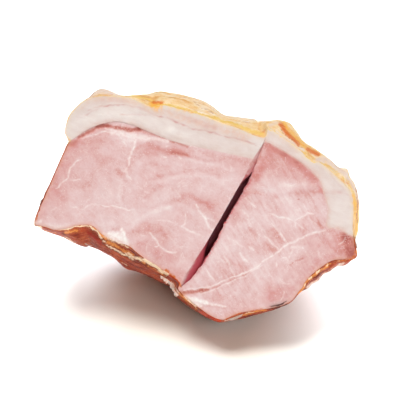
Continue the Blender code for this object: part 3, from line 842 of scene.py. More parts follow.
# Cream along the lip of the crust, with a painted highlight along the edge of the hollow
CREAM_AND_HIGHLIGHT = (
    (2.4, 1.1, ((31, 222), (35, 225.4), (40, 227.6))),
    (0.9, 1.0, ((59, 230.6), (64, 229.4), (70, 228), (74, 226.8), (79, 225.8), (88, 225.4),
                (92, 226.8))),
    # painted highlight along the edge next to the hollow
    (1.1, 1.0, ((92, 227.4), (95.5, 231), (98.5, 234.8), (102, 239.6), (106, 243.8))),
    (1.3, 0.85, ((107, 245), (114, 249), (120, 252.4), (127, 256.2), (134, 259.8))),
    (1.2, 0.75, ((104, 236.6), (110, 239.8), (117, 242), (124, 244.6), (129, 247.4))),
    (1.7, 0.95, ((127, 253), (134, 256.8), (141, 260))),
    (2.0, 1.15, ((144, 259.4), (150, 262.8), (155, 266.2), (161, 270.6), (167, 274.4))),
    (0.6, 0.8, ((64, 236.8), (70, 240.2), (76, 243.2))),
    (0.6, 0.7, ((89, 245.8), (96, 248.4), (104, 252.6), (112, 256.6), (119.6, 260.6),
                (127, 265.6))),
    (1.4, 0.9, ((184, 296.4), (189.6, 301), (193, 304.4), (196.4, 307))),
    (1.0, 0.7, ((246, 313), (250, 311.8), (254.6, 312.4))),
    (1.0, 0.9, ((304.6, 286.4), (306, 284.4))),
    (1.1, 1.0, ((309, 279), (311.8, 276.2))),
    (1.1, 1.0, ((317, 272), (320, 269.6))),
    (0.9, 0.8, ((326.4, 266), (328.6, 264.8))),
    (0.8, 0.7, ((336, 261.6), (339, 260.6))),
)
# Amber and orange along it
GOLD = (
    (2.0, 1.0, ((65.5, 232.6), (71, 231.6), (77, 230.4))),
    (1.5, 0.7, ((40, 229.6), (48, 232), (56, 234))),
    (1.9, 1.1, ((93.6, 228), (98, 231.6), (102, 235.8), (106, 240))),
    (2.1, 1.0, ((107, 241.6), (113, 244.4), (120, 247.8), (126, 251), (133, 255.4))),
    (1.5, 0.9, ((139, 258.4), (144, 262.4), (149, 266.8))),
    (1.2, 0.7, ((150, 267), (158, 271.4), (166, 276.4))),
    (1.7, 0.9, ((179, 294), (184, 298.4), (189, 302.4), (196, 308.6))),
    (1.3, 0.9, ((240, 316.6), (247, 313.8), (256, 311.6), (266, 309.6))),
    (1.9, 1.0, ((299, 293), (304, 286), (309, 279.6), (314, 274.8), (320, 270.4), (328, 265.6))),
    (1.4, 0.7, ((330, 264), (340, 260.4), (350, 258.6))),
    (1.2, 0.8, ((350, 259.4), (355, 256), (356.6, 250))),
)
# Orange-red
EMBER = (
    (1.3, 0.9, ((106.6, 241.4), (110, 243.6))),
    (1.3, 0.8, ((113, 245.2), (117.4, 247.6))),
    (1.1, 0.8, ((121, 249), (125.6, 251.6))),
    (2.0, 1.3, ((169.5, 274.8), (174, 277.8), (178, 280.6), (181.4, 284.8))),
    (2.2, 1.5, ((201, 311.4), (207, 315), (213, 318.4), (219, 320.6))),
    (1.3, 0.7, ((258, 312), (267, 309.6), (273, 307.8))),
    (1.2, 0.8, ((297, 295.8), (301, 290.8), (305, 285.8), (309, 280.8))),
    (1.2, 0.8, ((313, 277), (320, 272), (327, 267.4), (334, 263.4), (342, 260.4), (350, 259.4))),
    (2.4, 0.8, ((82, 229.6), (87, 230.6), (91, 234))),
)
# Deep red painted shade in the hollow under the lip
HOLLOW_RED_SHADE = (
    (2.3, 1.2, ((88, 232.4), (92.6, 236), (97, 239.8), (101, 243.4))),
    (1.1, 1.0, ((43, 227.8), (50, 230.6), (57, 232.8), (64, 233.8))),
    (1.6, 0.9, ((208, 316.2), (214, 319))),
)
# Thin brown wrinkles in the rind
WRINKLES = (
    (0.6, 0.8, ((281, 129), (287, 136), (294, 142), (302, 148))),
    (0.6, 0.7, ((193, 101), (198, 105), (205, 108.6), (212, 112))),
    (0.6, 0.6, ((180, 97), (188, 99), (196, 102.4), (204, 103.6))),
    (0.5, 0.5, ((162, 96), (172, 97.6), (182, 101))),
    (0.5, 0.5, ((206, 105.6), (216, 110.6), (226, 113.6))),
    (0.8, 0.7, ((208, 111), (213, 113.4))),
    (0.6, 0.5, ((230, 119), (240, 121.4), (250, 123))),
    (0.9, 0.9, ((306.6, 156.6), (307.6, 159))),
    (0.8, 0.9, ((312, 162), (312.8, 164))),
    (0.7, 0.6, ((322, 152), (328, 157))),
    (0.7, 0.5, ((336, 164), (341, 169), (346, 172))),
    (0.7, 0.6, ((85, 100), (90, 96), (96, 92))),
    (1.3, 0.75, ((356, 189), (357.4, 204), (357.6, 222))),
)
# Dark brown creases; the dark line below the lip is painted shade
CREASES_AND_SHADE = (
    (0.9, 0.8, ((342, 260.5), (333, 263.5), (325, 268))),
    (0.9, 0.8, ((318, 273), (311, 279), (306, 286), (300, 294), (294, 299))),
    (0.8, 0.7, ((356.4, 238), (356.8, 246), (355.6, 254))),
    (0.9, 1.1, ((62, 233.4), (66, 234.6))),
    # painted shade in the dark line below the lip, in this and the next three lines
    (1.0, 1.1, ((101, 242.4), (106, 246), (112, 249.6), (121, 253.6), (129.4, 257.8))),
    (1.1, 0.7, ((129.4, 258), (133, 262), (140, 265.2), (146, 268), (153, 271.6), (160, 275.6))),
    (0.9, 0.7, ((74, 236.6), (84, 240.4), (94, 244.4))),
    (1.2, 0.6, ((112, 254.6), (122, 260.6), (129, 266))),
    (1.0, 0.8, ((198.6, 308.6), (201.6, 311))),
    (1.5, 0.8, ((231, 318.6), (236, 318), (242, 316))),
    (1.7, 1.9, ((270, 307.8), (278, 306.8), (285, 304.8))),
    (0.8, 1.3, ((284, 305.2), (289, 301.6), (293.4, 297.8))),
)


def seen_at(places):
    """The photograph pixel at which each place in the frame of the cut shows."""
    nearing = CAMERA_DISTANCE / (CAMERA_DISTANCE - places[:, 2])
    across = (places[:, 0] - AIM[0]) / PIXEL * nearing
    up = (places[:, 1] - AIM[1]) / PIXEL * nearing
    return np.column_stack((PICTURE_SIZE / 2 + across, PICTURE_SIZE / 2 - up))


def on_cut(place):
    """The place on the cut that shows at a photograph pixel."""
    shift = np.array((place[0] - PICTURE_SIZE / 2, PICTURE_SIZE / 2 - place[1]))
    return AIM + shift * PIXEL


# How marks stray: the size of the bends and how far they reach, in pixels
COARSE_BENDS, COARSE_REACH = 7, 1.3
FINE_BENDS, FINE_REACH = 2.4, 0.55


def wander(pixels):
    """The same pixels, each moved a little, so that marks drawn at them look natural."""
    coarse = np.column_stack([waver(pixels, COARSE_BENDS, layer) for layer in (1.5, 9.5)])
    fine = np.column_stack([waver(pixels, FINE_BENDS, layer) for layer in (4.5, 6.5)])
    return pixels + COARSE_REACH * coarse + FINE_REACH * fine


def nearness(pixels, mark, taper=0.0):
    """How strongly a mark shows at each pixel. Its ends are thinner by the taper."""
    width, strength, line = mark
    gap, share, _ = to_line(pixels, line)
    widths = width * (1 - taper + taper * np.sqrt(np.sin(math.pi * share)))
    return strength * bell(gap / widths)


def each_mark(pixels, group, taper):
    """For each mark of a group: which pixels it reaches, and how strongly it shows there."""
    for mark in group:
        line = np.array(mark[2])
        reach = 4 * mark[0]
        low, high = line.min(0) - reach, line.max(0) + reach
        near = ((pixels > low) & (pixels < high)).all(1)
        if near.any():
            yield near, nearness(pixels[near], mark, taper)


def marks(pixels, group, taper=0.0):
    """The sum of a group of marks at each pixel."""
    total = np.zeros(len(pixels))
    for near, shown in each_mark(pixels, group, taper):
        total[near] += shown
    return total


def strongest(pixels, group, taper=0.0):
    """The strongest of a group of marks at each pixel."""
    most = np.zeros(len(pixels))
    for near, shown in each_mark(pixels, group, taper):
        most[near] = np.maximum(most[near], shown)
    return most


def set_attribute(mesh, name, values):
    attribute = mesh.attributes.new(name, "FLOAT", "POINT")
    attribute.data.foreach_set("value", np.asarray(values, np.float32))


# ---------------------------------------------------------------- the relief of the cut

SEAM_GROOVE = 0.14 * MM  # depth of a fine seam
BAND_RISE = 0.32 * MM  # between a deep band, which lies lower, and a pale one
FIBRE_SIZE, FIBRE_RISE = 1.3 * MM, 0.06 * MM
CURD_SIZE, CURD_RISE = 4.2 * MM, 0.12 * MM
FAT_LINE_GROOVE, FAT_SWELL, FAT_DIP = 0.2 * MM, 0.25 * MM, 0.2 * MM
FAT_FIBRE_RISE, FAT_CURD_RISE = 0.03 * MM, 0.06 * MM


def cut_waves(places):
    """The relief that the whole cut shares."""
    mark = KNIFE_MARK * bell((places[:, 1] - KNIFE_MARK_HEIGHT) / KNIFE_MARK_WIDTH)
    mark *= smooth((places[:, 0] - KNIFE_MARK_START) / KNIFE_MARK_START)
    return waver(places, WAVE_SIZE) * WAVE_HEIGHT - mark


def meat_height(places):
    """How far the meat stands out of the cut, or lies behind it where negative."""
    pixels = wander(seen_at(np.column_stack((places, np.zeros(len(places))))))
    gap, _, nearest = to_line(places, fat_floor(FAT_FLOOR_LEFT))
    above = nearest[:, 1] < places[:, 1]
    sink = SINK * np.where(above, 1, smooth(1 - gap / SINK_REACH))
    sink *= smooth((places[:, 0] - SINK_START) / SINK_FADE)
    sink *= smooth((SINK_END - places[:, 0]) / SINK_FADE)
    height = cut_waves(places) - sink
    height += BAND_RISE * (marks(pixels, PALE_AND_HIGHLIGHT) - 0.8 * marks(pixels, DEEP_AND_SHADE).clip(0, 1.6))
    height -= SEAM_GROOVE * strongest(pixels, SEAMS_LEFT + SEAMS_RIGHT, 0.6)
    height += waver(places, FIBRE_SIZE) * FIBRE_RISE + waver(places, CURD_SIZE) * CURD_RISE
    return height


def fat_height(places):
    """The same for the fat."""
    pixels = wander(seen_at(np.column_stack((places, np.zeros(len(places))))))
    height = cut_waves(places) - FAT_LINE_GROOVE * strongest(pixels, FAT_LINES_AND_SHADE, 0.4)
    height += FAT_SWELL * marks(pixels, FAT_WHITE) - FAT_DIP * marks(pixels, FAT_SHADE)
    height += waver(places, FIBRE_SIZE) * FAT_FIBRE_RISE
    return height + waver(places, CURD_SIZE) * FAT_CURD_RISE


# The lowest and highest corners of the parts of the cut that the meat and the fat take, in
# millimetres
MEAT_REACH = ((-92, -1), (88, 112))
FAT_REACH = ((-78, 45), (88, 127))


def slab(name, low, high, height):
    """A block behind part of the cut, whose front carries the relief that height() gives."""
    bm = bmesh.new()
    low, high = np.array(low) * MM, np.array(high) * MM
    cells = np.round((high - low) / CELL).astype(int)
    bmesh.ops.create_grid(bm, x_segments=cells[0], y_segments=cells[1], size=0.5)
    places = np.array([vert.co[:2] for vert in bm.verts]) * (high - low) + (low + high) / 2
    for vert, place, level in zip(bm.verts, places, height(places)):
        vert.co = (*place, level)
    front = bm.faces[:] + bm.edges[:] + bm.verts[:]
    made = bmesh.ops.extrude_face_region(bm, geom=front)["geom"]
    for vert in (item for item in made if isinstance(item, bmesh.types.BMVert)):
        vert.co.z = -2 * DEPTH
    bmesh.ops.dissolve_faces(bm, faces=[f for f in made if isinstance(f, bmesh.types.BMFace)])
    return solid(name, bm)


# ---------------------------------------------------------------- the meat and the fat


def meat_inset(depth):
    return MEAT_INSET + MEAT_INSET_DEEP * smooth(depth / MEAT_INSET_FADE)


def inside():
    """The chunk without its skin, standing on past the cut in front."""
    outline = Outline(MEAT_STEP)
    rings = [outline.ring(depth, meat_inset(depth)) for depth in np.array(MEAT_DEPTHS) * MM]
    deep = meat_inset(DEPTH)
    rings += [outline.ring(0, deep, share=share) for share in MEAT_BACK_SHARES]
    back = (*(HEART + BACK_SHIFT), -DEPTH + deep)
    return loft("inside", rings, back)


def lay_down(obj, lowest=0.0):
    """Leans a piece back with its cut up, and flattens it where it meets the table."""
    place = Matrix.Translation(CUT_PLACE) @ Matrix.Rotation(LEAN_BACK, 4, "X")
    obj.data.transform(place)
    points = corners(obj.data)
    low = np.array((*cad_low[:2], lowest))
    obj.data.vertices.foreach_set("co", np.clip(points, low, np.array(cad_high)).ravel())
    obj.data.update()


def shade(obj, material, crease=50):
    obj.data.materials.clear()
    obj.data.materials.append(material)
    obj.data.shade_smooth()
    obj.data.set_sharp_from_angle(angle=math.radians(crease))


# How far marks and tints reach on the meat and the fat, from the edge of the cut, from the border
# between the two, and from the slit
CUT_FADE = 0.8 * MM
MEAT_EDGE, MEAT_BROWN, MEAT_BORDER_REACH = 1.6 * MM, 0.5 * MM, 1.1 * MM
# FAT_WALL_FADE: over which the painted shade on the fat's walls grows
FAT_EDGE_REACH, FAT_BORDER_REACH, FAT_WALL_FADE = 1.5 * MM, 1.4 * MM, 1.2 * MM
FRINGE_REACH, FRINGE_START = 1.1 * MM, 0.5 * MM
FRINGE_FROM, FRINGE_TO, FRINGE_FADE = 0.16, 0.97, 0.1  # as shares of the slit's length
# Where the painted shade on the walls of the slit, and the darker one in its crack, start and grow
WALL_START, WALL_FADE = 0.3 * MM, 1.4 * MM
CRACK_START, CRACK_FADE = 0.4 * MM, 2 * MM
SIDE_FADE = 2 * MM  # between the meat left and right of the slit


def below_cut(places, height):
    """How far behind the relief of the cut each place lies."""
    return height(places[:, :2]) - places[:, 2]


def edge_nearness(places, reach):
    """1 at the edge of the cut, fading inwards."""
    edge = curve(EDGE, 2 * MM, closed=True)[:, :2]
    gap, _, _ = to_line(places[:, :2], np.vstack((edge, edge[:1])))
    return bell(gap / reach)


def border_nearness(places, reach):
    """1 where the meat meets the fat, fading to both sides, and less on the left."""
    left, _, _ = to_line(places[:, :2], fat_floor(FAT_FLOOR_LEFT))
    right, _, _ = to_line(places[:, :2], fat_floor(FAT_FLOOR_RIGHT))
    return np.maximum(0.5 * bell(left / reach), bell(right / reach))


def paint_meat(mesh):
    """Lays the marks on the meat as attributes, which its finish reads."""
    places = corners(mesh)
    pixels = seen_at(places)
    drawn = wander(pixels)
    below = below_cut(places, meat_height)
    broken = 0.8 + 0.5 * waver(pixels, 4.5, 2.2)
    seams = strongest(drawn, SEAMS_LEFT + SEAMS_RIGHT, 0.6) * broken
    white = np.clip(1.5 * strongest(drawn, WHITE_FAT, 0.3) - 0.25, 0, 1)
    front = smooth(1 - below / CUT_FADE)
    set_attribute(mesh, "seam", np.maximum(seams, white).clip(0, 1) * front)
    # Deep and pale marks hold painted shade and highlight at the fat, the slit and the knife groove
    deep, pale = marks(drawn, DEEP_AND_SHADE), marks(drawn, PALE_AND_HIGHLIGHT)
    set_attribute(mesh, "tone", np.clip(pale - deep, -1.5, 1))
    set_attribute(mesh, "rosy", marks(drawn, ROSY))
    set_attribute(mesh, "scorched", strongest(drawn, SCORCHED))
    set_attribute(mesh, "edge", edge_nearness(places, MEAT_EDGE))
    lip, _, _ = to_line(places[:, :2], (LIP_FROM, LIP_TO))
    brown = edge_nearness(places, MEAT_BROWN) * smooth(lip / LIP_REACH - 0.4)
    set_attribute(mesh, "brown", brown)
    set_attribute(mesh, "border", border_nearness(places, MEAT_BORDER_REACH) * front)
    paint_slit(mesh, places, pixels, below)


def paint_slit(mesh, places, pixels, below):
    """Painted shade on the slit's walls and in its crack, and the red fringe along its right edge.
    """
    along, aside = beside_slit(places)
    aside -= along_slit(along, SLIT_STRAY)
    past = np.maximum(aside - along_slit(along, SLIT_WIDTHS), 0)
    fringe = bell(past / FRINGE_REACH) * smooth(aside / FRINGE_START)
    fringe *= smooth((along - FRINGE_FROM) / FRINGE_FADE)
    fringe *= smooth((FRINGE_TO - along) / FRINGE_FADE)
    set_attribute(mesh, "fringe", fringe * (0.7 + 0.9 * waver(pixels, 2.6, 6.1)))
    # painted shade on the walls, weaker towards the top of the slit
    wall = smooth((below - WALL_START) / WALL_FADE)
    set_attribute(mesh, "wall", wall * (0.4 + 0.6 * smooth((along - 0.2) / 0.25)))
    # darker painted shade, below where the crack opens
    stations, _, _, depths = crack()
    under = below - np.interp(along, stations, depths) - CRACK_START
    set_attribute(mesh, "crack", smooth(under / CRACK_FADE))
    set_attribute(mesh, "right", smooth(0.5 + aside / SIDE_FADE))


def paint_fat(mesh):
    """Lays the marks on the fat as attributes, which its finish reads."""
    places = corners(mesh)
    pixels = seen_at(places)
    drawn = wander(pixels)
    below = below_cut(places, fat_height)
    # line also holds painted shade in the knife groove; tone, painted shade by the fat's lower edge
    set_attribute(mesh, "line", strongest(drawn, FAT_LINES_AND_SHADE, 0.4) * (0.8 + waver(pixels, 5, 3.1)))
    set_attribute(mesh, "tone", marks(drawn, FAT_WHITE) - marks(drawn, FAT_SHADE))
    set_attribute(mesh, "edge", edge_nearness(places, FAT_EDGE_REACH))
    set_attribute(mesh, "rose", strongest(drawn, FAT_ROSE))
    set_attribute(mesh, "border", border_nearness(places, FAT_BORDER_REACH))
    set_attribute(mesh, "yellow", strongest(drawn, YELLOW))
    set_attribute(mesh, "amber", strongest(drawn, AMBER))
    set_attribute(mesh, "gilded", strongest(drawn, GILDED))
    # painted shade on the fat's walls below the cut
    set_attribute(mesh, "wall", smooth(below / FAT_WALL_FADE))


def make_meat_and_fat(finishes):
    """Parts the slit chunk at the underside of the fat, and gives both parts their relief."""
    whole = inside()
    knife = slit()
    combine(whole, knife, "DIFFERENCE")
    low_core = core()
    meat = copy_of(whole, "lean_meat")
    fat = copy_of(whole, "fat_layer")
    combine(meat, low_core, "INTERSECT")
    combine(fat, low_core, "DIFFERENCE")
    meat_slab = slab("meat_slab", *MEAT_REACH, meat_height)
    fat_slab = slab("fat_slab", *FAT_REACH, fat_height)
    combine(meat, meat_slab, "INTERSECT")
    combine(fat, fat_slab, "INTERSECT")
    for used in (whole, knife, low_core, meat_slab, fat_slab):
        bpy.data.objects.remove(used)
    paint_meat(meat.data)
    paint_fat(fat.data)
    for piece, node in ((meat, "lean"), (fat, "fat_cap")):
        lay_down(piece, MEAT_FLOOR)
        shade(piece, finishes[piece.name])
        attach(piece, "root")
        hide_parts(node)


# ---------------------------------------------------------------- the crust and the rind

# Small swells of the skin: the photograph pixel, how far they reach in pixels, and their rise in
# millimetres
SWELLS = (
    ((260, 122), 6, 3.4),
    ((281, 119), 4, 1.2),
    ((304, 141), 5, 0.7),
    ((311, 146), 7, 2.0),
    ((345, 169), 5, 3.2),
    ((293, 124), 5, -2.2),
    ((310, 288), 5, 2.8),
    ((318, 279), 7, 2.6),
    ((331, 270), 6, 3.2),
    ((343, 263), 6, 1.4),
    ((358, 206), 15, 1.3),
    ((141, 94), 14, 1.2),
    ((66, 142), 6, 1.1),
    ((46, 190), 8, 0.7),
    ((75, 242), 7, 2.2),
)
SWELL_FADE = 60 * MM

# The relief of the skin away from the cut, and the ragged lip of the crust
WRINKLE_LONG, WRINKLE_SHORT, WRINKLE_DEPTH = 15 * MM, 2.4 * MM, 0.55 * MM
PIT_SIZE, PIT_DEPTH = 3.2 * MM, 0.4 * MM
GRIT_SIZE, GRIT_DEPTH = 1.1 * MM, 0.12 * MM
CREASE_DEPTH, CREASE_WIDTH, CREASE_PAST_HOLLOW = 0.8 * MM, 1.6 * MM, 0.8 * MM
RELIEF_FADE = 1.5 * MM  # it starts from nothing at the cut
LIP_RISE, LIP_AT, LIP_SPREAD = 0.7 * MM, 2.4 * MM, 1.5 * MM
RAGGED_SIZE, RAGGED_RISE = 2.6 * MM, 0.55 * MM


def skin_relief(outline, at, depth):
    """The wrinkles, pits and creases of the skin, and the ragged lip of the crust."""
    start = smooth(depth / RELIEF_FADE)
    along = np.column_stack((at[:, :2] / WRINKLE_LONG, np.full(len(at), depth / WRINKLE_SHORT)))
    wrinkle = 1 - np.abs(waver(along, 1)) * 3
    pits = np.maximum(waver(at, PIT_SIZE, 7.7) - 0.1, 0)
    grit = waver(at, GRIT_SIZE, 3.3)
    rise = -WRINKLE_DEPTH * wrinkle.clip(0, 1) ** 2 - PIT_DEPTH * pits + GRIT_DEPTH * (grit - 1) / 2
    shown = seen_at(np.column_stack((outline.full, np.full(len(at), -SWELL_DEPTH))))
    for place, reach, swell in SWELLS:
        close = bell(np.linalg.norm(shown - place, axis=1) / reach)
        rise += close * swell * MM * smooth(1 - depth / SWELL_FADE)
    lip = outline.lip_nearness()
    ragged = waver(outline.edge, RAGGED_SIZE, 5.5) * RAGGED_RISE
    edge = bell((depth - LIP_AT) / LIP_SPREAD)
    rise = rise * start + lip * edge * (LIP_RISE + ragged)
    crease = bell((depth - HOLLOW_AT - CREASE_PAST_HOLLOW) / CREASE_WIDTH)
    return rise - lip * CREASE_DEPTH * crease


def skin_depths():
    """The depths of the rings of the skin, closer together near the cut."""
    depths = []
    depth = SKIN_FINEST
    while depth < SKIN_LAST_RING:
        depths.append(depth)
        depth += SKIN_FINEST + SKIN_GROWTH * depth
    return depths


# The rim of the skin: the lumps along it, and its profile from the inside out, as shares of its
# width and its height
RIM_LUMP_SIZE, RIM_LUMP_HEIGHT = 3.1 * MM, 0.35 * MM
RIM_PROFILE = ((1.0, 0.0), (0.6, 1.0), (0.2, 0.85), (0.0, 0.1))


def rim_height(places):
    """The height of the rim of the skin: just proud of the cut, and uneven."""
    uneven = RIM_LUMP_HEIGHT * np.maximum(waver(places, RIM_LUMP_SIZE, 8.8), 0)
    return cut_waves(places) + SKIN_PROUD + uneven


def skin():
    """The whole skin of the chunk, a deep bowl that is open at the cut."""
    outline = Outline(SKIN_STEP)
    rim = SKIN_RIM * (1 + 0.7 * waver(outline.edge, 5 * MM, 2.5))
    rings = []
    for depth in np.array(SKIN_INNER_DEPTHS) * MM:
        rings.append(outline.ring(depth, rim + SKIN_BODY * smooth(depth / SKIN_BODY_FADE)))
    for share, height in RIM_PROFILE:
        ring = outline.ring(0, rim * share)
        ring[:, 2] = rim_height(ring[:, :2]) - SKIN_PROUD * (1 - height)
        rings.append(ring)
    rings += [outline.ring(depth, relief=skin_relief) for depth in skin_depths()]
    rings += [outline.ring(0, relief=skin_relief, share=share) for share in SKIN_BACK_SHARES]
    return loft("skin", rings, (*(HEART + BACK_SHIFT), -DEPTH))


# The skin is crust below this height on the cut, and below the other one on the left
CRUST_BELOW, LEFT_CRUST_BELOW = 47 * MM, 99 * MM
# How softly crust turns into rind at the cut, and how much more softly further back
BLEND, BLEND_MORE, BLEND_LUMPS = 5 * MM, 9 * MM, 11 * MM
# Marks on the skin, which the photograph shows near the cut alone, end about here
MARKS_END, MARKS_END_LUMPS, MARKS_END_RAGGED = 17 * MM, 7 * MM, 13 * MM
MARKS_FADE = 7 * MM
# The tint of the rim starts in front of the cut, and fades towards the back
RIM_TINT_START, RIM_TINT_FADE = 0.2 * MM, 0.9 * MM
# The marks on the skin, by the attribute that carries them to its finish
SKIN_GROUPS = {
    "amber": AMBER,
    "yellow": YELLOW,
    "flesh": FLESH,
    # with a painted highlight along the edge of the hollow
    "cream_and_highlight": CREAM_AND_HIGHLIGHT,
    "gold": GOLD,
    "ember": EMBER,
    # painted shade in the hollow under the lip
    "hollow": HOLLOW_RED_SHADE,
    # dark creases, partly painted shade below the lip
    "crease": CREASES_AND_SHADE,
    "wrinkle": WRINKLES,
    "gilded": GILDED,
}


def smoke_share(places):
    """1 where the skin is browned crust, 0 where it is yellow rind."""
    closing = 1 - FAT_WRAP * smooth(-places[:, 2] / FAT_WRAP_DEPTH)
    back = places[:, :2] - BACK_SHIFT * (np.clip(-places[:, 2:], 0, DEPTH) / DEPTH) ** 1.5
    opened = HEART + (back - HEART) / closing[:, None]
    floor = np.vstack((fat_floor(FAT_FLOOR_LEFT), fat_floor(FAT_FLOOR_RIGHT)))
    gap, _, nearest = to_line(opened, floor)
    inwards = ((opened - HEART) ** 2).sum(1) < ((nearest - HEART) ** 2).sum(1)
    inwards &= opened[:, 1] < nearest[:, 1]
    left = (opened[:, 0] < 0) & (opened[:, 1] < LEFT_CRUST_BELOW)
    lower = (opened[:, 1] < CRUST_BELOW) | left | inwards
    blur = BLEND + BLEND_MORE * smooth(-places[:, 2] / SWELL_DEPTH)
    signed = np.where(lower, gap, -gap) + 0.6 * blur * waver(places, BLEND_LUMPS, 4.4)
    return smooth(0.5 + signed / blur)


def paint_skin(mesh):
    """Lays the marks on the skin as attributes, which its finish reads."""
    places = corners(mesh)
    pixels = seen_at(places)
    drawn = wander(pixels)
    last = MARKS_END + MARKS_END_RAGGED * waver(places, MARKS_END_LUMPS, 6.2)
    seen = smooth(1 - (-places[:, 2] - last) / MARKS_FADE)
    set_attribute(mesh, "smoke", smoke_share(places))
    set_attribute(mesh, "rim", smooth(1 + (places[:, 2] - RIM_TINT_START) / RIM_TINT_FADE))
    for name, group in SKIN_GROUPS.items():
        set_attribute(mesh, name, strongest(drawn, group) * seen)


def make_skin(finishes):
    """Parts the skin at the underside of the fat, into crust below and rind above."""
    whole = skin()
    low_core = core()
    crust = copy_of(whole, "smoked_crust")
    rind = copy_of(whole, "rind")
    combine(crust, low_core, "INTERSECT")
    combine(rind, low_core, "DIFFERENCE")
    for used in (whole, low_core):
        bpy.data.objects.remove(used)
    for piece, node, slot in ((crust, "lean", "crust"), (rind, "fat_cap", "rind")):
        paint_skin(piece.data)
        lay_down(piece)
        shade(piece, finishes[piece.name], 70)
        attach(piece, "root")
        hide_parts(node)


# ---------------------------------------------------------------- loose bits of skin

# Each bit: the line that it hangs from, in photograph pixels, how far it reaches out from there
# and how deep behind the cut it starts, in millimetres, and how dark it is
BITS = (
    (((160.6, 275.4), (164, 277.4), (168, 279.8), (171, 282.6)), 2.6, 0.5, 0.0),
    (((168.6, 281), (172, 284.6), (174.6, 288.6)), 2.8, 0.7, 0.1),
    (((172.4, 287), (175, 290.8), (178.6, 295)), 3.0, 0.5, 0.0),
    (((355.2, 241.6), (355.6, 245), (356, 248.6)), 2.0, 0.8, 0.5),
    (((43.4, 198), (41.6, 203), (39.6, 208.4)), 1.3, 0.6, 0.8),
    (((223, 319.4), (229.4, 318.8), (236, 316.6), (243, 314)), 1.8, 0.8, 0.35),
    (((283, 303.6), (287, 301), (291.4, 297)), 1.3, 0.8, 0.9),
    (((269.4, 306.2), (275, 305.2), (281, 303.6), (286.6, 300.8)), 1.9, -0.45, 1.0),
    (((85, 243), (88, 245), (92, 246)), 1.6, 3.5, 0.45),
    (((75.6, 109.6), (73, 113), (71, 117.6)), 1.3, 0.8, 0.3),
)
BIT_THICKNESS = 0.28 * MM
BIT_CELLS = (40, 10)
BIT_DROOP = 1.2 * MM  # of its loose edge
BIT_CURL = 0.5 * MM


def bit_of_skin(line, reach, depth, number):
    """One thin ragged shred that hangs from a line on the edge of the cut."""
    bm = bmesh.new()
    bmesh.ops.create_grid(bm, x_segments=BIT_CELLS[0], y_segments=BIT_CELLS[1], size=0.5)
    root = np.array([on_cut(place) for place in line])
    lengths = np.concatenate(([0], np.cumsum(np.linalg.norm(np.diff(root, axis=0), axis=1))))
    parts = np.array([vert.co[:2] for vert in bm.verts]) + 0.5
    along, out = parts.T
    at = np.column_stack([np.interp(along, lengths / lengths[-1], root[:, k]) for k in (0, 1)])
    away = (root.mean(0) - HEART) / np.linalg.norm(root.mean(0) - HEART)
    ragged = 0.75 + 0.6 * waver(np.column_stack((along * 9, np.full(len(along), number))), 1.7)
    taper = np.sin(math.pi * np.clip(along, 0.02, 0.98)) ** 0.45
    at += away * (out * reach * MM * ragged * taper)[:, None]
    curl = BIT_CURL * waver(np.column_stack((along * 5, out * 2 + number)), 1.3)
    level = curl * out - depth * MM - BIT_DROOP * out**2
    for vert, place, height in zip(bm.verts, at, level):
        vert.co = (*place, height)
    bmesh.ops.solidify(bm, geom=bm.faces[:], thickness=BIT_THICKNESS)
    return bm


def make_bits(finishes):
    """All the thin bits of skin round the edge, as one piece."""
    whole = bmesh.new()
    darkness = []
    for number, (line, reach, depth, dark) in enumerate(BITS):
        bm = bit_of_skin(line, reach, depth, number)
        scrap = bpy.data.meshes.new("scrap")
        bm.to_mesh(scrap)
        darkness += [dark] * len(scrap.vertices)
        bm.free()
        whole.from_mesh(scrap)
        bpy.data.meshes.remove(scrap)
    piece = solid("skin_shreds", whole)
    set_attribute(piece.data, "dark", darkness)
    lay_down(piece)
    shade(piece, finishes["skin_shreds"], 60)
    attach(piece, "root")


# ---------------------------------------------------------------- finishes


def colour(red, green, blue):
    """A colour given as on a screen, from 0 to 255, in linear light."""
    screen = np.array((red, green, blue)) / 255
    linear = np.where(screen <= 0.04045, screen / 12.92, ((screen + 0.055) / 1.055) ** 2.4)
    return (*linear.tolist(), 1.0)


NOISE_SPAN = (0.3, 0.7)  # nearly all of a noise lies between these


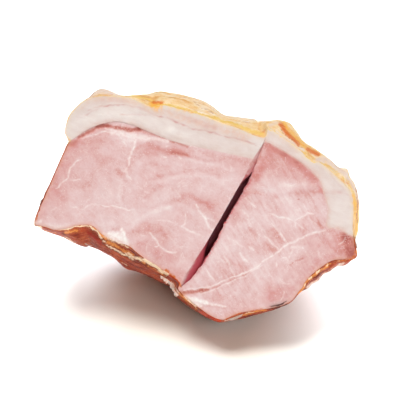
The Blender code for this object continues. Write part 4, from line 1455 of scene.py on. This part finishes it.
class Finish:
    """A material under construction, and short words for the nodes that it needs."""

    def __init__(self, name):
        self.material = bpy.data.materials.new(name)
        self.material.use_nodes = True
        self.tree = self.material.node_tree
        self.shader = self.tree.nodes["Principled BSDF"]
        self.place = self.cut_place()

    def node(self, kind, **settings):
        made = self.tree.nodes.new("ShaderNode" + kind)
        for name, value in settings.items():
            setattr(made, name, value)
        return made

    def feed(self, socket, value):
        """Links an output to the socket, or sets a plain value on it."""
        if isinstance(value, bpy.types.NodeSocket):
            self.tree.links.new(value, socket)
        else:
            socket.default_value = value

    def set(self, **values):
        """Sets the shader's own sockets; a name's _ stands for a space."""
        for name, value in values.items():
            self.feed(self.shader.inputs[name.replace("_", " ")], value)

    def cut_place(self):
        """Places on the piece, turned into the frame of the cut."""
        mapping = self.node("Mapping")
        mapping.inputs["Rotation"].default_value = (-LEAN_BACK, 0, 0)
        self.feed(mapping.inputs["Vector"], self.node("TexCoord").outputs["Object"])
        return mapping.outputs["Vector"]

    def stretched(self, factors, turn=0.0):
        """The places again, turned and then squeezed along each axis, so that what is drawn
        there stretches."""
        mapping = self.node("Mapping", vector_type="TEXTURE")
        mapping.inputs["Scale"].default_value = [1 / factor for factor in factors]
        mapping.inputs["Rotation"].default_value = (0, 0, turn)
        self.feed(mapping.inputs["Vector"], self.place)
        return mapping.outputs["Vector"]

    def noise(self, size, detail=3.0, roughness=0.55, bend=0.0, place=None):
        """Cloudy noise from 0 to 1, with lumps of the size."""
        made = self.node("TexNoise")
        self.feed(made.inputs["Vector"], place or self.place)
        made.inputs["Scale"].default_value = 1 / size
        made.inputs["Detail"].default_value = detail
        made.inputs["Roughness"].default_value = roughness
        made.inputs["Distortion"].default_value = bend
        return made.outputs["Fac"]

    def clouds(self, size, low, high, *grain):
        """Noise with lumps of the size, spread evenly from low to high."""
        return self.spread(self.noise(size, *grain), *NOISE_SPAN, low, high)

    def cells(self, size, place=None, feature="DISTANCE_TO_EDGE"):
        """The distance to the edges of uneven cells of the size, or to their middles."""
        made = self.node("TexVoronoi", feature=feature)
        self.feed(made.inputs["Vector"], place or self.place)
        made.inputs["Scale"].default_value = 1 / size
        return made.outputs["Distance"]

    def attribute(self, name):
        return self.node("Attribute", attribute_name=name).outputs["Fac"]

    def maths(self, operation, a, b=0.0, c=0.0):
        made = self.node("Math", operation=operation)
        for socket, value in zip(made.inputs, (a, b, c)):
            self.feed(socket, value)
        return made.outputs[0]

    def times(self, a, b):
        return self.maths("MULTIPLY", a, b)

    def plus(self, a, b):
        return self.maths("ADD", a, b)

    def spread(self, value, low, high, to_low=0.0, to_high=1.0):
        """The value, moved smoothly from one range to another."""
        made = self.node("MapRange", interpolation_type="SMOOTHSTEP")
        for socket, number in zip(made.inputs, (value, low, high, to_low, to_high)):
            self.feed(socket, number)
        return made.outputs[0]

    def ramp(self, value, stops):
        """A colour picked along stops of (place, screen colour)."""
        made = self.node("ValToRGB")
        self.feed(made.inputs[0], value)
        elements = made.color_ramp.elements
        while len(elements) < len(stops):
            elements.new(0.5)
        for element, (place, shown) in zip(elements, stops):
            element.position = place
            element.color = colour(*shown)
        return made.outputs["Color"]

    def mix(self, share, a, b, blend="MIX"):
        """One colour over another, as much as the share says."""
        made = self.node("Mix", data_type="RGBA", blend_type=blend)
        self.feed(made.inputs["Factor"], share)
        for socket, value in ((made.inputs[6], a), (made.inputs[7], b)):
            self.feed(socket, colour(*value) if isinstance(value, tuple) else value)
        return made.outputs[2]

    def bump(self, height, size, before=None):
        """A bump of a size in metres."""
        made = self.node("Bump")
        made.inputs["Strength"].default_value = 1.0
        made.inputs["Distance"].default_value = size
        self.feed(made.inputs["Height"], height)
        if before is not None:
            self.feed(made.inputs["Normal"], before)
        return made.outputs["Normal"]


LEAN_TONES = (
    (0.0, (158, 76, 66)),
    (0.2, (186, 118, 108)),
    (0.42, (201, 153, 149)),
    (0.62, (210, 178, 178)),
    (0.82, (216, 194, 194)),
    (1.0, (223, 208, 206)),
)
LEAN_MIDDLE, LEAN_MARKS = 0.62, 0.33  # its tone where nothing is marked, and the share of marks
ROSE = (195, 128, 123)
SCORCH = (196, 104, 52)
EDGE_BROWN = (142, 74, 44)
LIP_RED = (186, 72, 76)
MEAT_BORDER = (208, 178, 168)
SEAM_WHITE = (232, 226, 224)
CRUST_TINT = (206, 142, 112)
# The fibre left and right of the slit: its direction, and how it is drawn out along it
LEFT_GRAIN, RIGHT_GRAIN = math.radians(-38), math.radians(-57)
LEFT_FIBRE, RIGHT_FIBRE = (0.34, 1, 1), (0.22, 1, 1)
# Painted shade on the walls of the slit, and darker painted shade in its crack
SLIT_WALL_SHADE = (196, 96, 108)
SLIT_CRACK_SHADE = (166, 84, 98)


def lean_grain(f):
    """The tone and the relief of the meat: clouds, mottling, fibre and sinew."""
    clouds = f.clouds(16 * MM, -0.11, 0.11)
    mottle = f.clouds(5 * MM, -0.06, 0.06, 4, 0.6, 0.8)
    grain = f.clouds(1.1 * MM, -0.05, 0.05, 3, 0.7)
    level, steep = f.stretched(LEFT_FIBRE, LEFT_GRAIN), f.stretched(RIGHT_FIBRE, RIGHT_GRAIN)
    level = f.clouds(2.6 * MM, -0.045, 0.045, 3, 0.55, 0.5, level)
    steep = f.clouds(1.9 * MM, -0.085, 0.085, 3, 0.55, 0.4, steep)
    fibre = f.plus(level, f.times(f.attribute("right"), f.plus(steep, f.times(level, -1.0))))
    bundles = f.cells(3.2 * MM, f.stretched((1, 0.8, 1)))
    sinew = f.times(f.spread(bundles, 0.0, 0.08, 1, 0), f.spread(f.noise(9 * MM), 0.4, 0.62))
    # the marked tone holds painted shade and highlight as well as the meat's own tones
    tone = f.plus(LEAN_MIDDLE, f.times(f.attribute("tone"), LEAN_MARKS))
    tone = f.plus(f.plus(tone, clouds), f.plus(f.plus(mottle, grain), fibre))
    height = f.plus(f.times(grain, 2.2), f.plus(f.times(mottle, 1.4), f.times(fibre, 1.2)))
    return f.plus(tone, f.times(sinew, 0.08)), f.plus(height, f.times(sinew, -0.12))


def marbled(f, shown):
    """Scattered fine veins and dots of fat over the meat, and the marked seams."""
    veins = f.maths("ABSOLUTE", f.plus(f.noise(11 * MM, 3, 0.5, 1.2), -0.5))
    veins = f.times(f.spread(veins, 0.0, 0.01, 1, 0), f.spread(f.noise(14 * MM), 0.48, 0.62))
    dots = f.spread(f.cells(1.2 * MM, feature="F1"), 0.1, 0.26, 1, 0)
    dots = f.times(dots, f.spread(f.noise(6 * MM), 0.42, 0.58))
    white = f.maths("MAXIMUM", f.times(veins, 0.35), f.times(dots, 0.5))
    seam = f.times(f.attribute("seam"), f.spread(f.noise(1.4 * MM), 0.25, 0.65, 0.5, 1.06))
    return f.mix(f.maths("MAXIMUM", white, seam), shown, SEAM_WHITE)


def browned(f, shown):
    """The warm tint and brown line by the crust; the slit's red fringe, and painted shade inside
    it.
    """
    tint = f.times(f.attribute("edge"), f.clouds(5 * MM, 0.3, 0.8))
    shown = f.mix(tint, shown, CRUST_TINT)
    broken = f.clouds(2.0 * MM, 0.35, 1.2)
    scorched = f.spread(f.times(f.attribute("scorched"), broken), 0.15, 0.8)
    shown = f.mix(scorched, shown, SCORCH)
    shown = f.mix(f.times(f.attribute("brown"), broken), shown, EDGE_BROWN)
    shown = f.mix(f.times(f.attribute("fringe"), 0.75), shown, LIP_RED)
    shown = f.mix(f.attribute("wall"), shown, SLIT_WALL_SHADE)
    return f.mix(f.attribute("crack"), shown, SLIT_CRACK_SHADE)


def lean_finish():
    f = Finish("cured_lean")
    tone, height = lean_grain(f)
    shown = f.ramp(tone, LEAN_TONES)
    uneven = f.clouds(3.5 * MM, 0.55, 1.25, 4, 0.6)
    shown = f.mix(f.times(f.times(f.attribute("rosy"), uneven), 0.78), shown, ROSE)
    border = f.spread(f.times(f.attribute("border"), uneven), 0.25, 1.0, 0.0, 0.8)
    shown = f.mix(border, shown, MEAT_BORDER)
    f.set(
        Base_Color=browned(f, marbled(f, shown)),
        Roughness=f.clouds(2.2 * MM, 0.34, 0.52),
        Normal=f.bump(height, 0.26 * MM),
        Subsurface_Weight=0.16,
        Subsurface_Scale=1.6 * MM,
        Subsurface_Radius=(1.0, 0.5, 0.42),
        Specular_IOR_Level=0.35,
    )
    return f.material


FAT_TONES = (
    (0.0, (186, 148, 140)),
    (0.35, (204, 186, 180)),
    (0.6, (211, 198, 194)),
    (0.85, (217, 208, 204)),
    (1.0, (223, 216, 212)),
)
FAT_MIDDLE, FAT_MARKS = 0.58, 0.34
FAT_PINK = (212, 174, 154)
FAT_BORDER = (206, 158, 146)
# the pink of the lines in the fat, also used as painted shade in the knife groove
FAT_LINE_AND_SHADE = (196, 148, 144)
FAT_GRAIN = math.radians(-16)
FAT_EDGE = (226, 204, 172)
# painted shade on the walls of the fat below the cut
FAT_WALL_SHADE = (208, 146, 130)
RIND_YELLOW = (232, 196, 112)
RIND_AMBER = (216, 118, 52)
RIND_GOLD = (236, 182, 84)
# Marks of the rind that run on to the fat: their tint, and where they start to show and show fully
FAT_TINTS = (
    ("yellow", RIND_YELLOW, 0.1, 1.0),
    ("amber", RIND_AMBER, 0.2, 1.4),
    ("gilded", RIND_GOLD, 0.1, 1.3),
)


def fat_finish():
    f = Finish("cured_fat")
    streaks = f.stretched((0.32, 1.15, 1), FAT_GRAIN)
    streaks = f.clouds(3.2 * MM, -0.1, 0.1, 4, 0.6, 0.6, streaks)
    grain = f.clouds(0.9 * MM, -0.04, 0.04, 3, 0.7)
    # the marked tone holds the painted shade along the fat's lower edge
    tone = f.plus(FAT_MIDDLE, f.times(f.attribute("tone"), FAT_MARKS))
    tone = f.plus(f.plus(tone, f.clouds(12 * MM, -0.1, 0.1, 2)), f.plus(streaks, grain))
    shown = f.ramp(tone, FAT_TONES)
    uneven = f.clouds(2.4 * MM, 0.3, 1.2, 4, 0.65, 0.5)
    shown = f.mix(f.times(f.attribute("rose"), f.times(uneven, 0.62)), shown, FAT_PINK)
    shown = f.mix(f.times(f.attribute("border"), f.times(uneven, 0.42)), shown, FAT_BORDER)
    # pink lines, and painted shade in the knife groove
    shown = f.mix(f.attribute("line"), shown, FAT_LINE_AND_SHADE)
    shown = f.mix(f.times(f.attribute("edge"), f.times(uneven, 0.6)), shown, FAT_EDGE)
    for mark, tint, start, full in FAT_TINTS:
        share = f.spread(f.times(f.attribute(mark), uneven), start, full)
        shown = f.mix(share, shown, tint)
    f.set(
        # painted shade on the fat's walls below the cut
        Base_Color=f.mix(f.times(f.attribute("wall"), 0.85), shown, FAT_WALL_SHADE),
        Roughness=f.clouds(2.5 * MM, 0.32, 0.48),
        Normal=f.bump(f.plus(f.times(grain, 1.6), streaks), 0.3 * MM),
        Subsurface_Weight=0.22,
        Subsurface_Scale=2.2 * MM,
        Subsurface_Radius=(1.0, 0.6, 0.45),
        Specular_IOR_Level=0.35,
    )
    return f.material


RIND_TONES = (
    (0.0, (196, 134, 82)),
    (0.25, (224, 176, 114)),
    (0.5, (236, 205, 156)),
    (0.75, (239, 216, 184)),
    (1.0, (241, 226, 208)),
)
CRUST_TONES = (
    (0.0, (80, 21, 10)),
    (0.25, (114, 33, 15)),
    (0.5, (142, 51, 24)),
    (0.75, (168, 74, 38)),
    (1.0, (190, 106, 63)),
)
RIND_PATCH = (230, 164, 94)
CRUST_SOOT = (96, 36, 24)
RIM_TONES = ((231, 205, 160), (177, 89, 47))  # of the rind and of the crust
STREAK_TONES = ((0.0, (128, 110, 96)), (1.0, (232, 226, 220)))
# The tint of each mark on the skin, and the strength at which it shows fully
SKIN_TINT_START = 0.3
SKIN_TINTS = (
    ("yellow", RIND_YELLOW, 0.95),
    ("gilded", RIND_GOLD, 1.3),
    ("flesh", (228, 206, 192), 0.95),
    ("amber", RIND_AMBER, 1.4),
    ("ember", (184, 62, 24), 1.1),
    # painted shade in the hollow under the lip
    ("hollow", (146, 34, 14), 1.1),
    # dark creases, partly painted shade below the lip
    ("crease", (92, 34, 20), 1.1),
    ("wrinkle", (184, 118, 66), 0.95),
    ("gold", (214, 134, 64), 1.0),
    # with a painted highlight along the edge of the hollow
    ("cream_and_highlight", (236, 212, 182), 0.95),
)


def skin_finish(name):
    """Rind and crust share one finish, so that one turns into the other without a line."""
    f = Finish(name)
    length = f.stretched((0.16, 0.16, 1.0))
    streaks = f.clouds(3.4 * MM, -0.3, 0.3, 5, 0.62, 0.5, length)
    clouds = f.spread(f.noise(22 * MM), 0.32, 0.68, -0.16, 0.16)
    mottle = f.clouds(5 * MM, -0.14, 0.14, 4, 0.6, 0.6)
    grain = f.clouds(1.0 * MM, -0.08, 0.08, 3, 0.7)
    tone = f.plus(f.plus(0.54, f.times(streaks, 0.8)), f.plus(clouds, f.plus(mottle, grain)))
    patches = f.times(f.spread(f.noise(26 * MM, 4, 0.6, 0.8), 0.52, 0.7), 0.45)
    rind = f.mix(patches, f.ramp(tone, RIND_TONES), RIND_PATCH)
    sooty = f.times(f.spread(f.noise(17 * MM, 4, 0.6, 0.5), 0.54, 0.72), 0.6)
    crust = f.mix(sooty, f.ramp(tone, CRUST_TONES), CRUST_SOOT)
    shown = f.mix(f.attribute("smoke"), rind, crust)
    rim = f.mix(f.attribute("smoke"), *RIM_TONES)
    shown = f.mix(f.times(f.attribute("rim"), f.clouds(2.2 * MM, 0.0, 0.85)), shown, rim)
    uneven = f.clouds(1.6 * MM, -0.28, 0.28, 5, 0.7, 0.6)
    for mark, tint, full in SKIN_TINTS:
        share = f.spread(f.plus(f.attribute(mark), uneven), SKIN_TINT_START, full)
        shown = f.mix(share, shown, tint)
    fine = f.ramp(f.clouds(1.2 * MM, 0.0, 1.0, 5, 0.7, 0.5, length), STREAK_TONES)
    streaked = f.plus(0.2, f.times(f.attribute("smoke"), 0.25))
    height = f.plus(f.times(streaks, 0.8), f.plus(f.times(mottle, 0.8), grain))
    f.set(
        Base_Color=f.mix(streaked, shown, fine, "SOFT_LIGHT"),
        Roughness=f.clouds(3 * MM, 0.36, 0.58),
        Normal=f.bump(height, 0.7 * MM),
        Subsurface_Weight=0.08,
        Subsurface_Scale=1.2 * MM,
        Subsurface_Radius=(1.0, 0.45, 0.25),
        Specular_IOR_Level=0.24,
    )
    return f.material


SHRED_TONES = ((0.25, (206, 160, 144)), (0.5, (230, 202, 188)), (0.75, (240, 222, 208)))
SHRED_DARK = (92, 44, 34)


def shred_finish():
    f = Finish("thin_skin")
    mottle = f.noise(1.6 * MM, 4, 0.6)
    f.set(
        Base_Color=f.mix(f.attribute("dark"), f.ramp(mottle, SHRED_TONES), SHRED_DARK),
        Roughness=f.spread(mottle, *NOISE_SPAN, 0.28, 0.45),
        Normal=f.bump(mottle, 0.3 * MM),
        Subsurface_Weight=0.3,
        Subsurface_Scale=1.0 * MM,
        Transmission_Weight=0.25,
    )
    return f.material


def make_finishes():
    return {
        "lean_meat": lean_finish(),
        "fat_layer": fat_finish(),
        "smoked_crust": skin_finish("smoked_crust"),
        "rind": skin_finish("smoked_rind"),
        "skin_shreds": shred_finish(),
    }


# ---------------------------------------------------------------- the studio

FLOOR_SIZE = 8.0
FLOOR_TONES = ((250, 247, 238), (252, 250, 242))
# Each softbox: direction round from the camera to the right, height above the table, its half
# angle as the ham sees it, all in degrees, its distance, its power in watts, and whether it
# lights the table alone
SOFTBOXES = {
    "overhead": (-87, 78, 11, 2.0, 31.5, False),
    "front": (24, 34, 15, 2.0, 15.8, False),
    "back": (143, 33, 23, 2.5, 12.0, False),
    "table_back": (143, 33, 23, 2.5, 102.0, True),
    "table_left": (-122, 50, 15, 2.5, 37.0, True),
}
TABLE_LIGHT = (0.93, 1.0, 1.14)  # the red, green and blue of those that light the table alone
AMBIENT = (255, 210, 140)  # the colour of the light from all round
AMBIENT_STRENGTH = 0.09


def make_floor():
    bm = bmesh.new()
    bmesh.ops.create_grid(bm, x_segments=1, y_segments=1, size=FLOOR_SIZE / 2)
    mesh = bpy.data.meshes.new("floor")
    bm.to_mesh(mesh)
    bm.free()
    floor = bpy.data.objects.new("floor", mesh)
    bpy.context.scene.collection.objects.link(floor)
    f = Finish("white_table")
    shown = f.mix(f.clouds(60 * MM, 0.0, 1.0, 2), *FLOOR_TONES)
    f.set(Base_Color=shown, Roughness=0.6, Specular_IOR_Level=0.1)
    mesh.materials.append(f.material)


def make_softbox(name, around, height, half_angle, distance, power, table_alone):
    """A round lamp that faces the middle of the table."""
    lamp = bpy.data.lights.new(name, "AREA")
    lamp.shape = "DISK"
    lamp.size = 2 * distance * math.tan(math.radians(half_angle))
    lamp.energy = power
    if table_alone:
        lamp.color = TABLE_LIGHT
    softbox = bpy.data.objects.new(name, lamp)
    turn = Matrix.Rotation(math.radians(around), 4, "Z")
    lean = Matrix.Rotation(math.radians(90 - height), 4, "X")
    softbox.matrix_world = turn @ lean @ Matrix.Translation((0, 0, distance))
    bpy.context.scene.collection.objects.link(softbox)
    if table_alone:
        lit = bpy.data.collections.new("lit_by_" + name)
        lit.objects.link(bpy.data.objects["floor"])
        softbox.light_linking.receiver_collection = lit


def make_world():
    """A faint light from all round, with pure white where the camera sees past the table."""
    world = bpy.data.worlds.new("studio")
    world.use_nodes = True
    nodes, links = world.node_tree.nodes, world.node_tree.links
    ambient = nodes["Background"]
    ambient.inputs["Color"].default_value = colour(*AMBIENT)
    ambient.inputs["Strength"].default_value = AMBIENT_STRENGTH
    backdrop = nodes.new("ShaderNodeBackground")
    backdrop.inputs["Strength"].default_value = 1.0
    backdrop.inputs["Color"].default_value = (1, 1, 1, 1)
    either = nodes.new("ShaderNodeMixShader")
    links.new(nodes.new("ShaderNodeLightPath").outputs["Is Camera Ray"], either.inputs[0])
    links.new(ambient.outputs[0], either.inputs[1])
    links.new(backdrop.outputs[0], either.inputs[2])
    links.new(either.outputs[0], nodes["World Output"].inputs["Surface"])
    bpy.context.scene.world = world


def make_camera():
    """Looks straight at the cut, as the photograph does."""
    lens = bpy.data.cameras.new("camera")
    lens.sensor_width = SENSOR
    lens.lens = SENSOR * CAMERA_DISTANCE / PICTURE_WIDTH
    camera = bpy.data.objects.new("camera", lens)
    sine, cosine = math.sin(LEAN_BACK), math.cos(LEAN_BACK)
    camera.location = (
        CUT_PLACE[0] + AIM[0],
        CUT_PLACE[1] + AIM[1] * cosine - CAMERA_DISTANCE * sine,
        CUT_PLACE[2] + AIM[1] * sine + CAMERA_DISTANCE * cosine,
    )
    camera.rotation_euler = (LEAN_BACK, 0, 0)
    bpy.context.scene.collection.objects.link(camera)
    bpy.context.scene.camera = camera
    bpy.context.scene.view_settings.view_transform = "Standard"


make_camera()
make_floor()
for name, settings in SOFTBOXES.items():
    make_softbox(name, *settings)
make_world()
finishes = make_finishes()
make_meat_and_fat(finishes)
make_skin(finishes)
make_bits(finishes)
